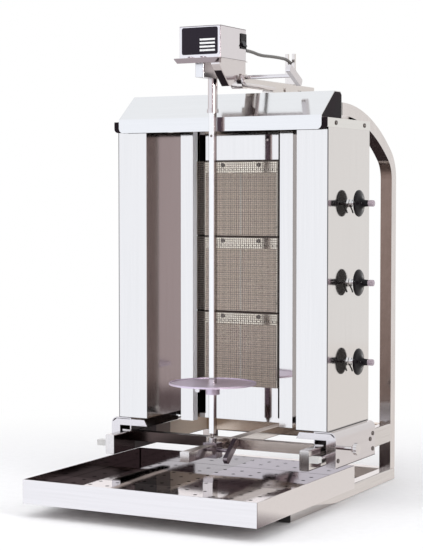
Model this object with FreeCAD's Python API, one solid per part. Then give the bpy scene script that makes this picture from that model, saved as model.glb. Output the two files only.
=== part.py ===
import FreeCAD
import Part
import math
import os

# Gas doner kebab grill on a tube frame, millimetres.
# X is to the right of someone who stands in front of the spit, Y to the back, Z up.
# The origin is the centre of the underside of the front cross tube, on the table.

Vec = FreeCAD.Vector

# Clearances
running_gap = 0.05
seat_gap = 0.3
slide_gap = 0.1

# Base frame tubes
frame_tube = 25.0
frame_wall = 1.5
frame_corner = 3.0
frame_half_width = 226.0
frame_length = 523.5
plug_lip = 1.5
plug_depth = 12.0
plug_rise = 0.5

# Bent uprights
arch_top = 788.0
arch_big_radius = 420.0
arch_small_radius = 74.0
arch_small_turn = 52.0
arch_front_y = 221.5
arch_cross_y = 284.5

# Rails and cross members between the uprights
rail_width = 20.0
rail_height = 40.0
rail_bottom = 83.0
rail_front_y = 68.7
channel_height = 20.0
bar_size = 20.0
bar_bottom = 95.0
bar_front_y = -9.5
bar_corner = 1.2

# Cabinet
cabinet_front_y = 135.5
cabinet_depth = 207.0
cabinet_over = 8.0
cabinet_bottom = 149.5
cabinet_top = 737.0
column_width = 66.0
recess_depth = 96.0
panel_sheet = 1.5
rear_flange = 16.0
panel_foot = 6.0
vent_width = 60.0
vent_height = 5.0
vent_pitch = 12.0
vent_spacing = 108.0
vent_below_top = 80.0
vent_rows = 8
vent_columns = 3

# Wings beside the burners
wing_inner = 98.6
wing_width = 28.4
wing_depth = 26.0
wing_bottom = 142.0
wing_return_gap = 6.0
slot_margin = 6.0
shield_depth = 26.0
shield_leg = 14.0

# Burners
burner_count = 3
burner_wall = 1.5
burner_below_top = 59.0
burner_pitch = 154.0
burner_gap = 0.5
burner_depth = 46.0
burner_face_y = 227.5
plenum_inset = 14.0
tile_half_field = 81.0
tile_height = 128.0
tile_depth = 12.0
tile_joint = 1.0
tile_bevel = 1.0
header_height = 22.0
header_sheet = 1.2
header_hole = 2.6
header_hole_pitch = 9.0
header_hole_count = 17
header_hole_drop = 15.8
header_screw_drop = 6.6
burner_rim = 3.5
mixer_radius = 15.0
guard_y = 221.5
guard_wire = 1.6
guard_columns = 13
guard_rows = 31
guard_hook_inset = 0.65

# Gas line on the right, behind the knobs
knob_y = 244.5
knob_bottom_z = 277.6
knob_pitch = 156.5
pipe_radius = 10.0
pipe_inset = 46.0
pipe_wall = 1.6
pipe_bottom = 196.0
pipe_over = 46.0
pipe_cap_rim = 2.5
pipe_cap_length = 10.0
elbow_rim = 1.5
inlet_radius = 10.5
inlet_length = 24.0
locknut_length = 10.0
locknut_corner_radius = 16.0
valve_radius = 11.0
valve_length = 24.0
valve_neck_radius = 6.8
valve_neck = 6.0
valve_bore_start = 9.6
feed_radius = 4.0
feed_bend = 16.0
valve_outlet = 5.0
valve_outlet_radius = 6.4
injector_radius = 7.5
injector_length = 10.0

# Control knobs
spindle_radius = 4.0
spindle_flat = 2.8
spindle_out = 32.0
spindle_flat_start = 20.0
spindle_hole = 6.0
knob_push = 4.0
knob_standoff = 17.0
knob_skirt_radius = 26.6
knob_skirt_depth = 11.0
knob_hub_radius = 13.0
knob_grip_radius = 5.8
knob_grip_out = 40.0
knob_tip_out = 51.0
knob_tip_radius = 5.6
knob_edge = 3.0
knob_edge_bevel = 1.6
knob_shoulder = 6.0
knob_shoulder_dip = 1.6
knob_shoulder_rim = 2.6

# Roof and hood
roof_height = 15.0
hood_end_gap = 0.6
hood_sheet = 1.5
hood_front_y = 123.0
hood_lip_bottom = 732.5
hood_lip_top = 760.0
hood_crest_y = 184.5
hood_crest = 809.0
hood_flat_end_y = 213.5
hood_chamfer = 6.5
hood_corner = 10.0
hood_end_bottom = 757.0
lip_cap_width = 23.0
lip_cap_corner = 9.0
lip_cap_bottom = 733.0

# Straps along the roof's edges, which lie against the uprights' bends
strap_height = 18.0
strap_width = 11.0
strap_rear_y = 337.5
strap_screw_front = 40.5
strap_screw_rear = 29.0

# Side brackets below the cabinet
bracket_out = 18.0
bracket_bottom = 80.0
bracket_length = 200.0
bracket_sheet = 2.0
bracket_corner = 12.0
leg_width = 20.0
strip_bottom = 133.6
strip_top = 146.4
strip_slant = 6.8
bracket_screw_inset = 12.0
bracket_screw_low = 14.0
bracket_screw_high = 45.0
bracket_screw_middle = 35.0
bracket_screw_middle_inset = 25.5

# Hand screw and guide rods of the side brackets
hand_screw_y = 161.2
hand_screw_z = 118.0
hand_screw_radius = 4.0
hand_screw_head_radius = 12.0
hand_screw_head = 7.0
hand_screw_out = 29.0
hand_screw_lobes = 10
hand_screw_lobe_radius = 2.2
hand_screw_lobe_out = 1.2
hand_screw_boss = 5.0
hand_screw_boss_radius = 7.0
hand_screw_boss_flare = 1.5
weld_nut_radius = 7.5
weld_nut_length = 6.0
rod_radius = 3.0
rod_out = 12.0
rod_z = 105.5
guide_block_width = 20.0
guide_block_length = 14.0
guide_block_height = 12.0
guide_block_corner = 1.5

# Drip tray
tray_over = 21.2
tray_front_y = -194.9
tray_length = 436.4
tray_height = 45.6
tray_sheet = 1.5
tray_corner = 1.2
plate_sheet = 1.5
plate_top = 48.0
plate_gap = 1.0
plate_skirt = 6.0
plate_hole = 4.0
plate_hole_pitch = 38.5
plate_columns = 12
plate_rows = 10
plate_foot = 12.0

# Spit, its disc and its bearing
spit_y = 106.0
spit_square = 12.0
spit_tip_z = 122.0
spit_point = 14.0
spit_nose = 0.6
spit_bevel = 1.0
spit_top = 803.0
spit_lift = 18.0
spit_pin_z = 722.6
spit_pin_hole = 2.5
disc_radius = 86.5
disc_sheet = 1.5
disc_z = 235.0
disc_rim = 2.0
clip_radius = 14.0
clip_height = 20.0
clip_screw_radius = 3.0
clip_screw_reach = 30.0
clip_wing = 16.0
clip_wing_length = 10.0
clip_wing_sheet = 3.0
clip_wing_corner = 3.5

# Saddle on the centre bar
saddle_width = 30.0
saddle_length = 25.0
saddle_bottom = 88.0
saddle_top = 118.0
saddle_corner = 1.5
cup_radius = 8.0
cup_height = 9.0
cup_bore = 5.0
clamp_radius = 4.0
clamp_handle_length = 60.0
clamp_handle_width = 15.0
clamp_handle_sheet = 9.0
clamp_handle_corner = 4.2
lower_clamp_x = 36.0
lower_clamp_z = 103.5
lower_clamp_tilt = 38.0
upper_clamp_x = 152.0
upper_clamp_y = 147.0
upper_clamp_z = 838.0
upper_clamp_tilt = -27.0

# Drive above the spit
drive_radius = 9.5
drive_bottom = 767.6
drive_top = 833.7
drive_collar_radius = 11.5
drive_collar = 7.8
drive_collar_edge = 1.0
drive_shaft_radius = 4.0
drive_shaft = 10.0
gear_half_width = 10.0
gear_front_y = 50.5
gear_length = 65.0
gear_bottom = 834.0
gear_corner = 3.0

# Motor housing and its bracket
housing_half_width = 45.0
housing_front_y = 52.5
housing_length = 110.0
housing_height = 62.5
housing_sheet = 1.5
housing_corner = 2.0
shelf_half_width = 47.5
shelf_front_y = 35.5
shelf_top = 870.0
shelf_sheet = 2.0
shelf_lip = 10.0
shelf_lip_slant = 7.0
cheek_x = 46.5
cheek_width = 18.0
cheek_sheet = 1.5
cheek_front_y = 44.0
cheek_chin = 11.0
cheek_nose_y = 89.9
cheek_nose_z = 817.7
cheek_heel_y = 112.0
cheek_heel_z = 826.5
cheek_step_y = 132.5
cheek_rear_gap = 6.0
label_width = 78.0
label_height = 52.0
label_corner = 4.0
label_sheet = 0.8
label_z = 903.5

# Rocker switch on the housing's right side
rocker_y = 148.5
rocker_z = 908.5
rocker_frame_width = 24.0
rocker_frame_height = 30.0
rocker_frame_sheet = 1.6
rocker_width = 16.0
rocker_height = 23.0
rocker_depth = 8.5
rocker_swing = 8.0
rocker_pivot = 3.0
rocker_shoulder = 1.0
rocker_edge = 0.6
rocker_dip = 2.5
rocker_back = 6.0
rocker_frame_corner = 1.5
rocker_well_wall = 0.6
rocker_well_depth = 14.0

# Arm that carries the motor
arm_x = 37.0
arm_size = 20.0
arm_top = 838.5
arm_wall = 2.0
arm_corner = 2.0
arm_rear_y = 484.0
arm_travel = 80.0
clamp_block_front_y = 134.0
clamp_block_length = 24.0
clamp_block_wall = 2.5
clamp_block_top = 844.2
clamp_block_corner = 9.0
track_wall = 2.4
track_wall_height = 11.0
track_front_y = 275.5
track_length = 120.0
track_bolt_y = 335.0
track_bolt_radius = 3.0
track_bolt_head = 5.0
track_bolt_cap = 2.5
track_corner = 2.0

# Cable post on the arm
post_width = 22.0
post_sheet = 6.0
post_y = 385.0
post_top = 903.0
post_slot = 9.0
post_slot_bottom = 878.5

# Motor cable, from the housing's back over the post into the arm
cable_diameter = 6.5
cable_points = [
    (38.0, 166.0, 893.0),
    (38.0, 196.0, 893.5),
    (37.5, 240.0, 888.5),
    (37.0, 290.0, 890.5),
    (37.0, 336.0, 891.0),
    (37.0, 368.0, 890.0),
    (37.0, 397.5, 880.0),
    (37.0, 411.0, 862.5),
    (37.0, 413.0, 841.0),
]
gland_radius = 6.5
gland_collar = 1.0

# Small screws
screw_head_radius = 4.5
screw_head_height = 1.8
screw_slot = 1.2
header_screw_x = 41.0

nodes = {}


def keep(name, *shapes):
    """Store the solids of one sub-part under its name."""
    solids = []
    for shape in shapes:
        solids.extend(shape.Solids)
    nodes[name] = solids


def box(x0, x1, y0, y1, z0, z1):
    """A block between two corners."""
    return Part.makeBox(x1 - x0, y1 - y0, z1 - z0, Vec(x0, y0, z0))


def mirrored(shape):
    """The same piece on the other side of the centre plane."""
    return shape.mirror(Vec(0, 0, 0), Vec(1, 0, 0))


def rod(start, direction, radius, length):
    """A round bar."""
    return Part.makeCylinder(radius, length, Vec(*start), Vec(*direction))


def prism(points, place, direction):
    """A flat outline of (u, v) points, placed by a function and pulled along a direction."""
    corners = [place(u, v) for u, v in points]
    corners.append(corners[0])
    return Part.Face(Part.makePolygon(corners)).extrude(direction)


def prism_x(points, x0, x1):
    """An outline in the YZ plane, pulled along X."""
    return prism(points, lambda u, v: Vec(x0, u, v), Vec(x1 - x0, 0, 0))


def prism_y(points, y0, y1):
    """An outline in the XZ plane, pulled along Y."""
    return prism(points, lambda u, v: Vec(u, y0, v), Vec(0, y1 - y0, 0))


def prism_z(points, z0, z1):
    """An outline in the XY plane, pulled along Z."""
    return prism(points, lambda u, v: Vec(u, v, z0), Vec(0, 0, z1 - z0))


def sheet_outline(path, sheet):
    """The closed outline of a folded sheet whose outer face follows the path, sheet to its left."""
    normals = []
    for (u0, v0), (u1, v1) in zip(path, path[1:]):
        run = math.hypot(u1 - u0, v1 - v0)
        normals.append(((v0 - v1) / run, (u1 - u0) / run))
    inner = []
    for i, (u, v) in enumerate(path):
        before = normals[max(i - 1, 0)]
        after = normals[min(i, len(normals) - 1)]
        share = 1.0 + before[0] * after[0] + before[1] * after[1]
        du = (before[0] + after[0]) / share * sheet
        dv = (before[1] + after[1]) / share * sheet
        inner.append((u + du, v + dv))
    return list(path) + inner[::-1]


def rounded_plate(width, height, corner, thickness):
    """A flat plate with round corners in the XZ plane, centred on X and Z, its front face at Y 0."""
    plate = box(-width / 2, width / 2, 0, thickness, -height / 2, height / 2)
    uprights = [e for e in plate.Edges if abs(e.Vertexes[0].Y - e.Vertexes[1].Y) > thickness / 2]
    return plate.makeFillet(corner, uprights)


def edges_along(shape, axis):
    """The straight edges of a shape that run along one axis, 0 for X, 1 for Y or 2 for Z."""
    found = []
    for edge in shape.Edges:
        if len(edge.Vertexes) == 2:
            run = edge.Vertexes[1].Point - edge.Vertexes[0].Point
            if abs(abs(run[axis]) - run.Length) < 1e-6 and run.Length > 1e-6:
                found.append(edge)
    return found


def square_tube(x0, x1, y0, y1, z0, z1, axis, wall, corner, lid=0.0):
    """A rectangular tube with round outer corners along one axis, open unless its start has a lid."""
    outer = box(x0, x1, y0, y1, z0, z1)
    outer = outer.makeFillet(corner, edges_along(outer, axis))
    first = [wall, wall, wall]
    last = [wall, wall, wall]
    first[axis] = lid if lid else -1.0
    last[axis] = -1.0
    inner = box(
        x0 + first[0], x1 - last[0], y0 + first[1], y1 - last[1], z0 + first[2], z1 - last[2]
    )
    return outer.cut(inner)


def screw_head(place, direction):
    """A domed screw head with a slot, its flat side at the place given."""
    radius = screw_head_radius
    dome = Part.makeCylinder(radius, screw_head_height)
    dome = dome.makeFillet(screw_head_height * 0.6, [dome.Edges[0]])
    slot = box(-radius, radius, -screw_slot / 2, screw_slot / 2, screw_head_height * 0.6, 10)
    head = dome.cut(slot)
    turn = FreeCAD.Rotation(Vec(0, 0, 1), Vec(*direction))
    head.Placement = FreeCAD.Placement(Vec(*place), turn)
    return head


# Places that several pieces share
cabinet_half_width = frame_half_width + cabinet_over
bracket_half_width = cabinet_half_width + bracket_out
tray_half_width = frame_half_width + tray_over
roof_half_width = frame_half_width
hood_half_width = roof_half_width - hood_end_gap
strap_front_y = hood_front_y + hood_sheet + panel_sheet
burner_half_width = tile_half_field + burner_wall
burner_top = cabinet_top - burner_below_top
pipe_x = cabinet_half_width - pipe_inset
spindle_reach = cabinet_half_width + spindle_out
knob_grip_end = cabinet_half_width + knob_grip_out
knob_tip_end = cabinet_half_width + knob_tip_out
hand_screw_head_x = bracket_half_width + hand_screw_out
rod_x = frame_half_width + rod_out
valve_x = pipe_x + pipe_radius - 1.0
frame_inner = frame_half_width - frame_tube
frame_front_y = -frame_tube / 2
frame_rear_y = frame_front_y + frame_length
upright_front_y = frame_rear_y - frame_tube
rail_inner = frame_half_width - rail_width
rail_top = rail_bottom + rail_height
column_inner = cabinet_half_width - column_width
recess_y = cabinet_front_y + recess_depth
cabinet_rear_y = cabinet_front_y + cabinet_depth
roof_top = cabinet_top + roof_height
knob_heights = [knob_bottom_z + i * knob_pitch for i in range(burner_count)]
burner_tops = [burner_top - i * burner_pitch for i in range(burner_count)]
burner_height = burner_pitch - burner_gap
burner_floor = burner_tops[-1] - burner_height
bar_top = bar_bottom + bar_size
arch_small_y = frame_rear_y - arch_small_radius
arch_step = arch_big_radius - arch_small_radius
arch_big_y = arch_small_y - arch_step * math.cos(math.radians(arch_small_turn))
arch_big_z = arch_top - arch_big_radius
arch_small_z = arch_big_z + arch_step * math.sin(math.radians(arch_small_turn))
housing_top = shelf_top + housing_height


# Base frame

def runner():
    """Right runner, a square tube on the table with an upright at its rear end."""
    return square_tube(
        frame_inner, frame_half_width, frame_front_y, frame_rear_y, 0, frame_tube, 1,
        frame_wall, frame_corner,
    )


def cross_tube(y0):
    """Square tube between the two runners."""
    return square_tube(
        -frame_inner, frame_inner, y0, y0 + frame_tube, 0, frame_tube, 0, frame_wall, frame_corner
    )


def tube_plug(x0, x1, y, z0, z1, wall):
    """Plastic plug in the front end of a tube, with a thin lip in front of the tube's end."""
    inset = wall + slide_gap
    lip = box(x0, x1, y - plug_lip, y, z0, z1)
    lip = lip.makeFillet(frame_corner * 0.9, edges_along(lip, 1))
    body = box(x0 + inset, x1 - inset, y, y + plug_depth, z0 + inset, z1 - inset)
    return lip.fuse(body).removeSplitter()


def arch_outline(inset):
    """The upright and its bend seen from the side, as a closed face moved in by the inset."""
    turn = math.radians(arch_small_turn)

    def bend(y, z, radius, start, end):
        angles = (start, (start + end) / 2, end)
        points = [Vec(0, y + radius * math.cos(a), z + radius * math.sin(a)) for a in angles]
        return Part.Arc(*points).toShape()

    outer_off = inset
    inner_off = frame_tube - inset
    quarter = math.pi / 2
    edges = [
        bend(arch_small_y, arch_small_z, arch_small_radius - outer_off, 0, turn),
        bend(arch_big_y, arch_big_z, arch_big_radius - outer_off, turn, quarter),
        bend(arch_big_y, arch_big_z, arch_big_radius - inner_off, turn, quarter),
        bend(arch_small_y, arch_small_z, arch_small_radius - inner_off, 0, turn),
    ]
    end = inset * 2
    foot = frame_tube - end
    head_y = arch_front_y - end
    corners = [
        Vec(0, frame_rear_y - outer_off, foot),
        Vec(0, frame_rear_y - outer_off, arch_small_z),
        Vec(0, arch_big_y, arch_top - outer_off),
        Vec(0, head_y, arch_top - outer_off),
        Vec(0, head_y, arch_top - inner_off),
        Vec(0, arch_big_y, arch_top - inner_off),
        Vec(0, frame_rear_y - inner_off, arch_small_z),
        Vec(0, frame_rear_y - inner_off, foot),
    ]
    for a, b in ((0, 1), (2, 3), (3, 4), (4, 5), (6, 7), (7, 0)):
        edges.append(Part.LineSegment(corners[a], corners[b]).toShape())
    return Part.Face(Part.Wire(Part.__sortEdges__(edges)))


def arch():
    """Right upright with its bend forward over the cabinet, one bent square tube."""
    outer = arch_outline(0.0).extrude(Vec(frame_tube, 0, 0))
    inner = arch_outline(frame_wall).extrude(Vec(frame_tube - 2 * frame_wall, 0, 0))
    outer.translate(Vec(frame_inner, 0, 0))
    inner.translate(Vec(frame_inner + frame_wall, 0, 0))
    return outer.cut(inner)


def arch_cross():
    """Square tube between the two bends, which carries the arm's sleeve."""
    front = arch_cross_y - frame_tube / 2
    top = arch_big_z + math.sqrt(arch_big_radius ** 2 - (arch_cross_y - arch_big_y) ** 2)
    tube = square_tube(
        -frame_inner, frame_inner, front, front + frame_tube, top - frame_tube, top, 0,
        frame_wall, frame_corner,
    )
    return tube, top


def rail():
    """Right rail, a flat tube from the upright forward below the cabinet, closed in front."""
    return square_tube(
        rail_inner, frame_half_width, rail_front_y, upright_front_y, rail_bottom, rail_top, 1,
        frame_wall, frame_corner, frame_wall,
    )


def front_channel():
    """Channel between the rails below the cabinet's front, notched for the centre bar."""
    z0 = rail_top - channel_height
    y0 = cabinet_front_y
    path = [(y0 + channel_height, z0), (y0, z0), (y0, rail_top), (y0 + channel_height, rail_top)]
    channel = prism_x(sheet_outline(path, -panel_sheet), -rail_inner, rail_inner)
    half = bar_size / 2 + slide_gap
    notch = box(-half, half, y0 - 1, y0 + channel_height + 1, z0 - 1, bar_top + slide_gap)
    return channel.cut(notch)


def rear_member():
    """Flat tube between the rails in front of the uprights, which holds the centre bar."""
    return square_tube(
        -rail_inner, rail_inner, upright_front_y - rail_width, upright_front_y, rail_bottom,
        rail_top, 0, frame_wall, frame_corner,
    )


def centre_bar():
    """Square bar on the centre plane, closed in front, the track of the spit's saddle."""
    return square_tube(
        -bar_size / 2, bar_size / 2, bar_front_y, upright_front_y - rail_width, bar_bottom,
        bar_top, 1, frame_wall, bar_corner, frame_wall,
    )


# Cabinet

def side_panel():
    """Right column and side wall, one folded sheet round the column."""
    path = [
        (column_inner, recess_y),
        (column_inner, cabinet_front_y),
        (cabinet_half_width, cabinet_front_y),
        (cabinet_half_width, cabinet_rear_y),
        (cabinet_half_width - rear_flange, cabinet_rear_y),
    ]
    panel = prism_z(sheet_outline(path, panel_sheet), cabinet_bottom, cabinet_top)
    for z in knob_heights:
        hole = rod((cabinet_half_width - 5, knob_y, z), (1, 0, 0), spindle_hole, 10)
        panel = panel.cut(hole)
    return panel


def plain_side_panel():
    """Left column and side wall, without the knobs' holes."""
    path = [
        (-column_inner, recess_y),
        (-column_inner, cabinet_front_y),
        (-cabinet_half_width, cabinet_front_y),
        (-cabinet_half_width, cabinet_rear_y),
        (rear_flange - cabinet_half_width, cabinet_rear_y),
    ]
    return prism_z(sheet_outline(path, -panel_sheet), cabinet_bottom, cabinet_top)


def back_panel():
    """Sheet behind the recess with a window for the burners, air slots beside them, and a foot."""
    foot_z = cabinet_bottom - panel_foot / 2
    path = [
        (recess_y + 10, foot_z),
        (recess_y, foot_z),
        (recess_y, cabinet_top),
    ]
    panel = prism_x(sheet_outline(path, -panel_sheet), -column_inner, column_inner)
    half = wing_inner - seat_gap
    y0 = recess_y - 1
    y1 = recess_y + panel_sheet + 1
    window = box(-half, half, y0, y1, burner_floor - seat_gap, burner_top + seat_gap)
    slot = box(
        burner_half_width + seat_gap, half, y0, y1, cabinet_bottom + slot_margin,
        cabinet_top - slot_margin,
    )
    return panel.cut(window).cut(slot).cut(mirrored(slot))


def wing():
    """Right wing, a shallow upright channel in front of the back panel, beside the burners."""
    front = recess_y - wing_depth
    outer = wing_inner + wing_width
    rear = recess_y - wing_return_gap
    path = [(outer, recess_y), (outer, front), (wing_inner, front), (wing_inner, rear)]
    return prism_z(sheet_outline(path, -panel_sheet), wing_bottom, cabinet_top - seat_gap)


def heat_shield():
    """Right black shield behind the air slot, folded toward the burners."""
    y0 = recess_y + panel_sheet
    y1 = y0 + shield_depth
    path = [(wing_inner, y0), (wing_inner, y1), (wing_inner - shield_leg, y1)]
    outline = sheet_outline(path, -header_sheet)
    return prism_z(outline, cabinet_bottom + slot_margin, cabinet_top - slot_margin)


def floor_plates():
    """Closing sheets under the burner compartment and under both columns."""
    inset = panel_sheet
    top = cabinet_bottom + panel_sheet
    rear = box(
        -column_inner, column_inner, recess_y + panel_sheet + 10, cabinet_rear_y - inset,
        cabinet_bottom, top,
    )
    column = box(
        column_inner + inset, cabinet_half_width - inset, cabinet_front_y + inset,
        cabinet_rear_y - inset, cabinet_bottom, top,
    )
    return rear, column, mirrored(column)


def rear_cover():
    """Rear sheet of the cabinet with rows of vent slots."""
    half = cabinet_half_width - rear_flange
    cover = box(
        -half, half, cabinet_rear_y - panel_sheet, cabinet_rear_y, cabinet_bottom, cabinet_top
    )
    y0 = cabinet_rear_y - panel_sheet - 1
    y1 = cabinet_rear_y + 1
    for column in range(vent_columns):
        middle = (column - (vent_columns - 1) / 2) * vent_spacing
        x0 = middle - vent_width / 2
        for row in range(vent_rows):
            z = cabinet_top - vent_below_top - row * vent_pitch
            slot = box(x0, x0 + vent_width, y0, y1, z, z + vent_height)
            slot = slot.makeFillet(vent_height * 0.45, edges_along(slot, 1))
            cover = cover.cut(slot)
    return cover


def roof():
    """Roof pan of the cabinet, a tray turned upside down."""
    y0 = cabinet_front_y + panel_sheet
    pan = box(-roof_half_width, roof_half_width, y0, cabinet_rear_y, cabinet_top, roof_top)
    inner = box(
        panel_sheet - roof_half_width, roof_half_width - panel_sheet, y0 + panel_sheet,
        cabinet_rear_y - panel_sheet, cabinet_top - 1, roof_top - panel_sheet,
    )
    pan = pan.cut(inner)
    drop = roof_top - arch_big_z
    bend_y = arch_big_y + math.sqrt((arch_big_radius - frame_tube) ** 2 - drop ** 2) - seat_gap
    notch = box(
        frame_inner - seat_gap, roof_half_width + 1, bend_y, cabinet_rear_y + 1, cabinet_top - 1,
        roof_top + 1,
    )
    return pan.cut(notch).cut(mirrored(notch))


def hood_path():
    """The hood's outer line from its lip over the crest to its rear edge, as (y, z)."""
    return [
        (hood_front_y, hood_lip_bottom),
        (hood_front_y, hood_lip_top),
        (hood_crest_y, hood_crest),
        (hood_flat_end_y, hood_crest),
        (hood_flat_end_y + hood_chamfer, hood_crest - hood_chamfer),
        (hood_flat_end_y + hood_chamfer, roof_top),
    ]


def hood():
    """Folded hood over the front of the roof, with a lip whose lower corners are round."""
    outline = sheet_outline(hood_path(), -hood_sheet)
    sheet = prism_x(outline, -hood_half_width, hood_half_width)
    lip_corners = []
    for edge in edges_along(sheet, 1):
        if abs(edge.CenterOfMass.z - hood_lip_bottom) < 0.01:
            lip_corners.append(edge)
    return sheet.makeFillet(hood_corner, lip_corners)


def hood_end():
    """Right end plate of the hood, inside its folds."""
    path = hood_path()
    inner = sheet_outline(path, -hood_sheet)[len(path):]
    points = [(inner[0][0], hood_end_bottom)] + inner[1:-1] + [(inner[-1][0], hood_end_bottom)]
    return prism_x(points, hood_half_width - hood_sheet, hood_half_width)


def lip_cap():
    """Right dark cap behind the lip's end, in front of the strap, with a round lower corner."""
    x1 = roof_half_width + strap_width
    y0 = hood_front_y + hood_sheet
    z1 = cabinet_top + strap_height
    cap = box(x1 - lip_cap_width, x1, y0, y0 + panel_sheet, lip_cap_bottom, z1)
    lower = []
    for edge in edges_along(cap, 1):
        middle = edge.CenterOfMass
        if middle.x > x1 - 1 and middle.z < lip_cap_bottom + 1:
            lower.append(edge)
    return cap.makeFillet(lip_cap_corner, lower)


def strap():
    """Right strap, a channel along the roof's edge whose rear end lies on the upright's bend."""
    x0 = roof_half_width
    x1 = x0 + strap_width
    z0 = cabinet_top
    z1 = z0 + strap_height
    path = [(x0, z0), (x1, z0), (x1, z1), (x0, z1)]
    return prism_y(sheet_outline(path, panel_sheet), strap_front_y, strap_rear_y)


# Side brackets

def side_bracket():
    """Right bracket below the cabinet, a folded sheet that sits on the rail, with a weld nut."""
    y0 = cabinet_front_y
    y1 = y0 + bracket_length
    x1 = bracket_half_width
    top = cabinet_bottom
    cut = bracket_corner
    path = [(x1, bracket_bottom), (x1, top - cut)]
    for step in range(1, 5):
        angle = math.radians(90 * step / 4)
        path.append((x1 - cut + cut * math.cos(angle), top - cut + cut * math.sin(angle)))
    path += [(rail_inner, top), (rail_inner, rail_top), (frame_half_width, rail_top)]
    body = prism_y(sheet_outline(path, bracket_sheet), y0, y1)
    leg = [(x1, bracket_bottom), (x1, top - cut), (x1 - cut, strip_top)]
    leg += [(column_inner + strip_slant, strip_top), (column_inner, strip_bottom)]
    leg += [(x1 - leg_width, strip_bottom), (x1 - leg_width, bracket_bottom)]
    front = prism_y(leg, y0, y0 + bracket_sheet)
    nut = rod(
        (x1 - bracket_sheet - weld_nut_length, hand_screw_y, hand_screw_z), (1, 0, 0),
        weld_nut_radius, weld_nut_length,
    )
    body = body.fuse([front, nut]).removeSplitter()
    bore = rod(
        (x1 - leg_width, hand_screw_y, hand_screw_z), (1, 0, 0), hand_screw_radius + running_gap,
        leg_width + 1,
    )
    passage = rod((rod_x, y0 - 1, rod_z), (0, 1, 0), rod_radius + slide_gap, bracket_sheet + 2)
    return body.cut(bore).cut(passage)


def guide_rod():
    """Right guide rod, from its block on the rail into the bracket."""
    return rod(
        (rod_x, rail_front_y + guide_block_length, rod_z), (0, 1, 0), rod_radius,
        cabinet_front_y - rail_front_y + guide_block_length,
    )


def guide_block():
    """Right plastic block on the rail's side, which holds the guide rod."""
    z0 = rod_z - guide_block_height / 2
    block = box(
        frame_half_width, frame_half_width + guide_block_width, rail_front_y,
        rail_front_y + guide_block_length, z0, z0 + guide_block_height,
    )
    return block.makeFillet(guide_block_corner, edges_along(block, 1))


def hand_screw():
    """Hand screw, its thread through the right bracket's nut and a lobed head outside."""
    tip_x = frame_half_width + seat_gap
    shaft = rod(
        (tip_x, hand_screw_y, hand_screw_z), (1, 0, 0), hand_screw_radius,
        hand_screw_head_x - tip_x,
    )
    head = Part.makeCylinder(hand_screw_head_radius, hand_screw_head)
    for lobe in range(hand_screw_lobes):
        angle = 2 * math.pi * lobe / hand_screw_lobes
        reach = hand_screw_head_radius + hand_screw_lobe_out
        place = Vec(reach * math.cos(angle), reach * math.sin(angle), -1)
        head = head.cut(Part.makeCylinder(hand_screw_lobe_radius, hand_screw_head + 2, place))
    boss = Part.makeCone(
        hand_screw_boss_radius, hand_screw_boss_radius + hand_screw_boss_flare, hand_screw_boss,
        Vec(0, 0, -hand_screw_boss),
    )
    head = head.fuse(boss).removeSplitter()
    turn = FreeCAD.Rotation(Vec(0, 0, 1), Vec(1, 0, 0))
    head.Placement = FreeCAD.Placement(Vec(hand_screw_head_x, hand_screw_y, hand_screw_z), turn)
    return shaft.fuse(head).removeSplitter()


# Burners

def burner_body(top):
    """Burner casing, a tapered gas chamber behind an open front that takes two tiles."""
    floor = top - burner_height
    half = burner_half_width
    front = burner_face_y + header_sheet

    def ring(y, inset):
        corners = [
            Vec(inset - half, y, floor + inset), Vec(half - inset, y, floor + inset),
            Vec(half - inset, y, top - inset), Vec(inset - half, y, top - inset),
        ]
        return Part.makePolygon(corners + [corners[0]])

    straight = front + tile_depth
    rear = burner_face_y + burner_depth
    body = box(-half, half, front, straight, floor, top)
    taper = Part.makeLoft([ring(straight, 0), ring(rear, plenum_inset)], True, True)
    body = body.fuse(taper).removeSplitter()
    pocket = box(
        -tile_half_field - slide_gap, tile_half_field + slide_gap, front - 1, straight,
        floor + slide_gap, floor + tile_height + slide_gap,
    )
    body = body.cut(pocket)
    mixer_z = (top + floor) / 2
    mixer = rod((-half / 2, rear, mixer_z), (1, 0, 0), mixer_radius, half * 1.5)
    return body.fuse(mixer).removeSplitter()


def burner_tile_pair(top):
    """Two ceramic tiles side by side in the burner's front."""
    floor = top - burner_height + slide_gap
    y0 = burner_face_y
    right = box(
        tile_joint / 2, tile_half_field, y0, y0 + tile_depth + header_sheet, floor,
        floor + tile_height,
    )
    front = [e for e in right.Edges if abs(e.CenterOfMass.y - y0) < 0.01]
    right = right.makeChamfer(tile_bevel, front)
    return right, mirrored(right)


def burner_header(top):
    """Perforated cream strip above the tiles, with side strips beside them, one stamped sheet."""
    floor = top - burner_height
    half = burner_half_width
    y0 = burner_face_y
    frame = box(-half, half, y0, y0 + header_sheet, floor, top - burner_rim)
    field = box(
        -tile_half_field - slide_gap, tile_half_field + slide_gap, y0 - 1, y0 + 5, floor - 1,
        floor + tile_height + 2 * slide_gap,
    )
    frame = frame.cut(field)
    z = top - burner_rim - header_hole_drop
    for i in range(header_hole_count):
        x = (i - (header_hole_count - 1) / 2) * header_hole_pitch
        frame = frame.cut(rod((x, y0 - 1, z), (0, 1, 0), header_hole / 2, 4))
    return frame


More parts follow.
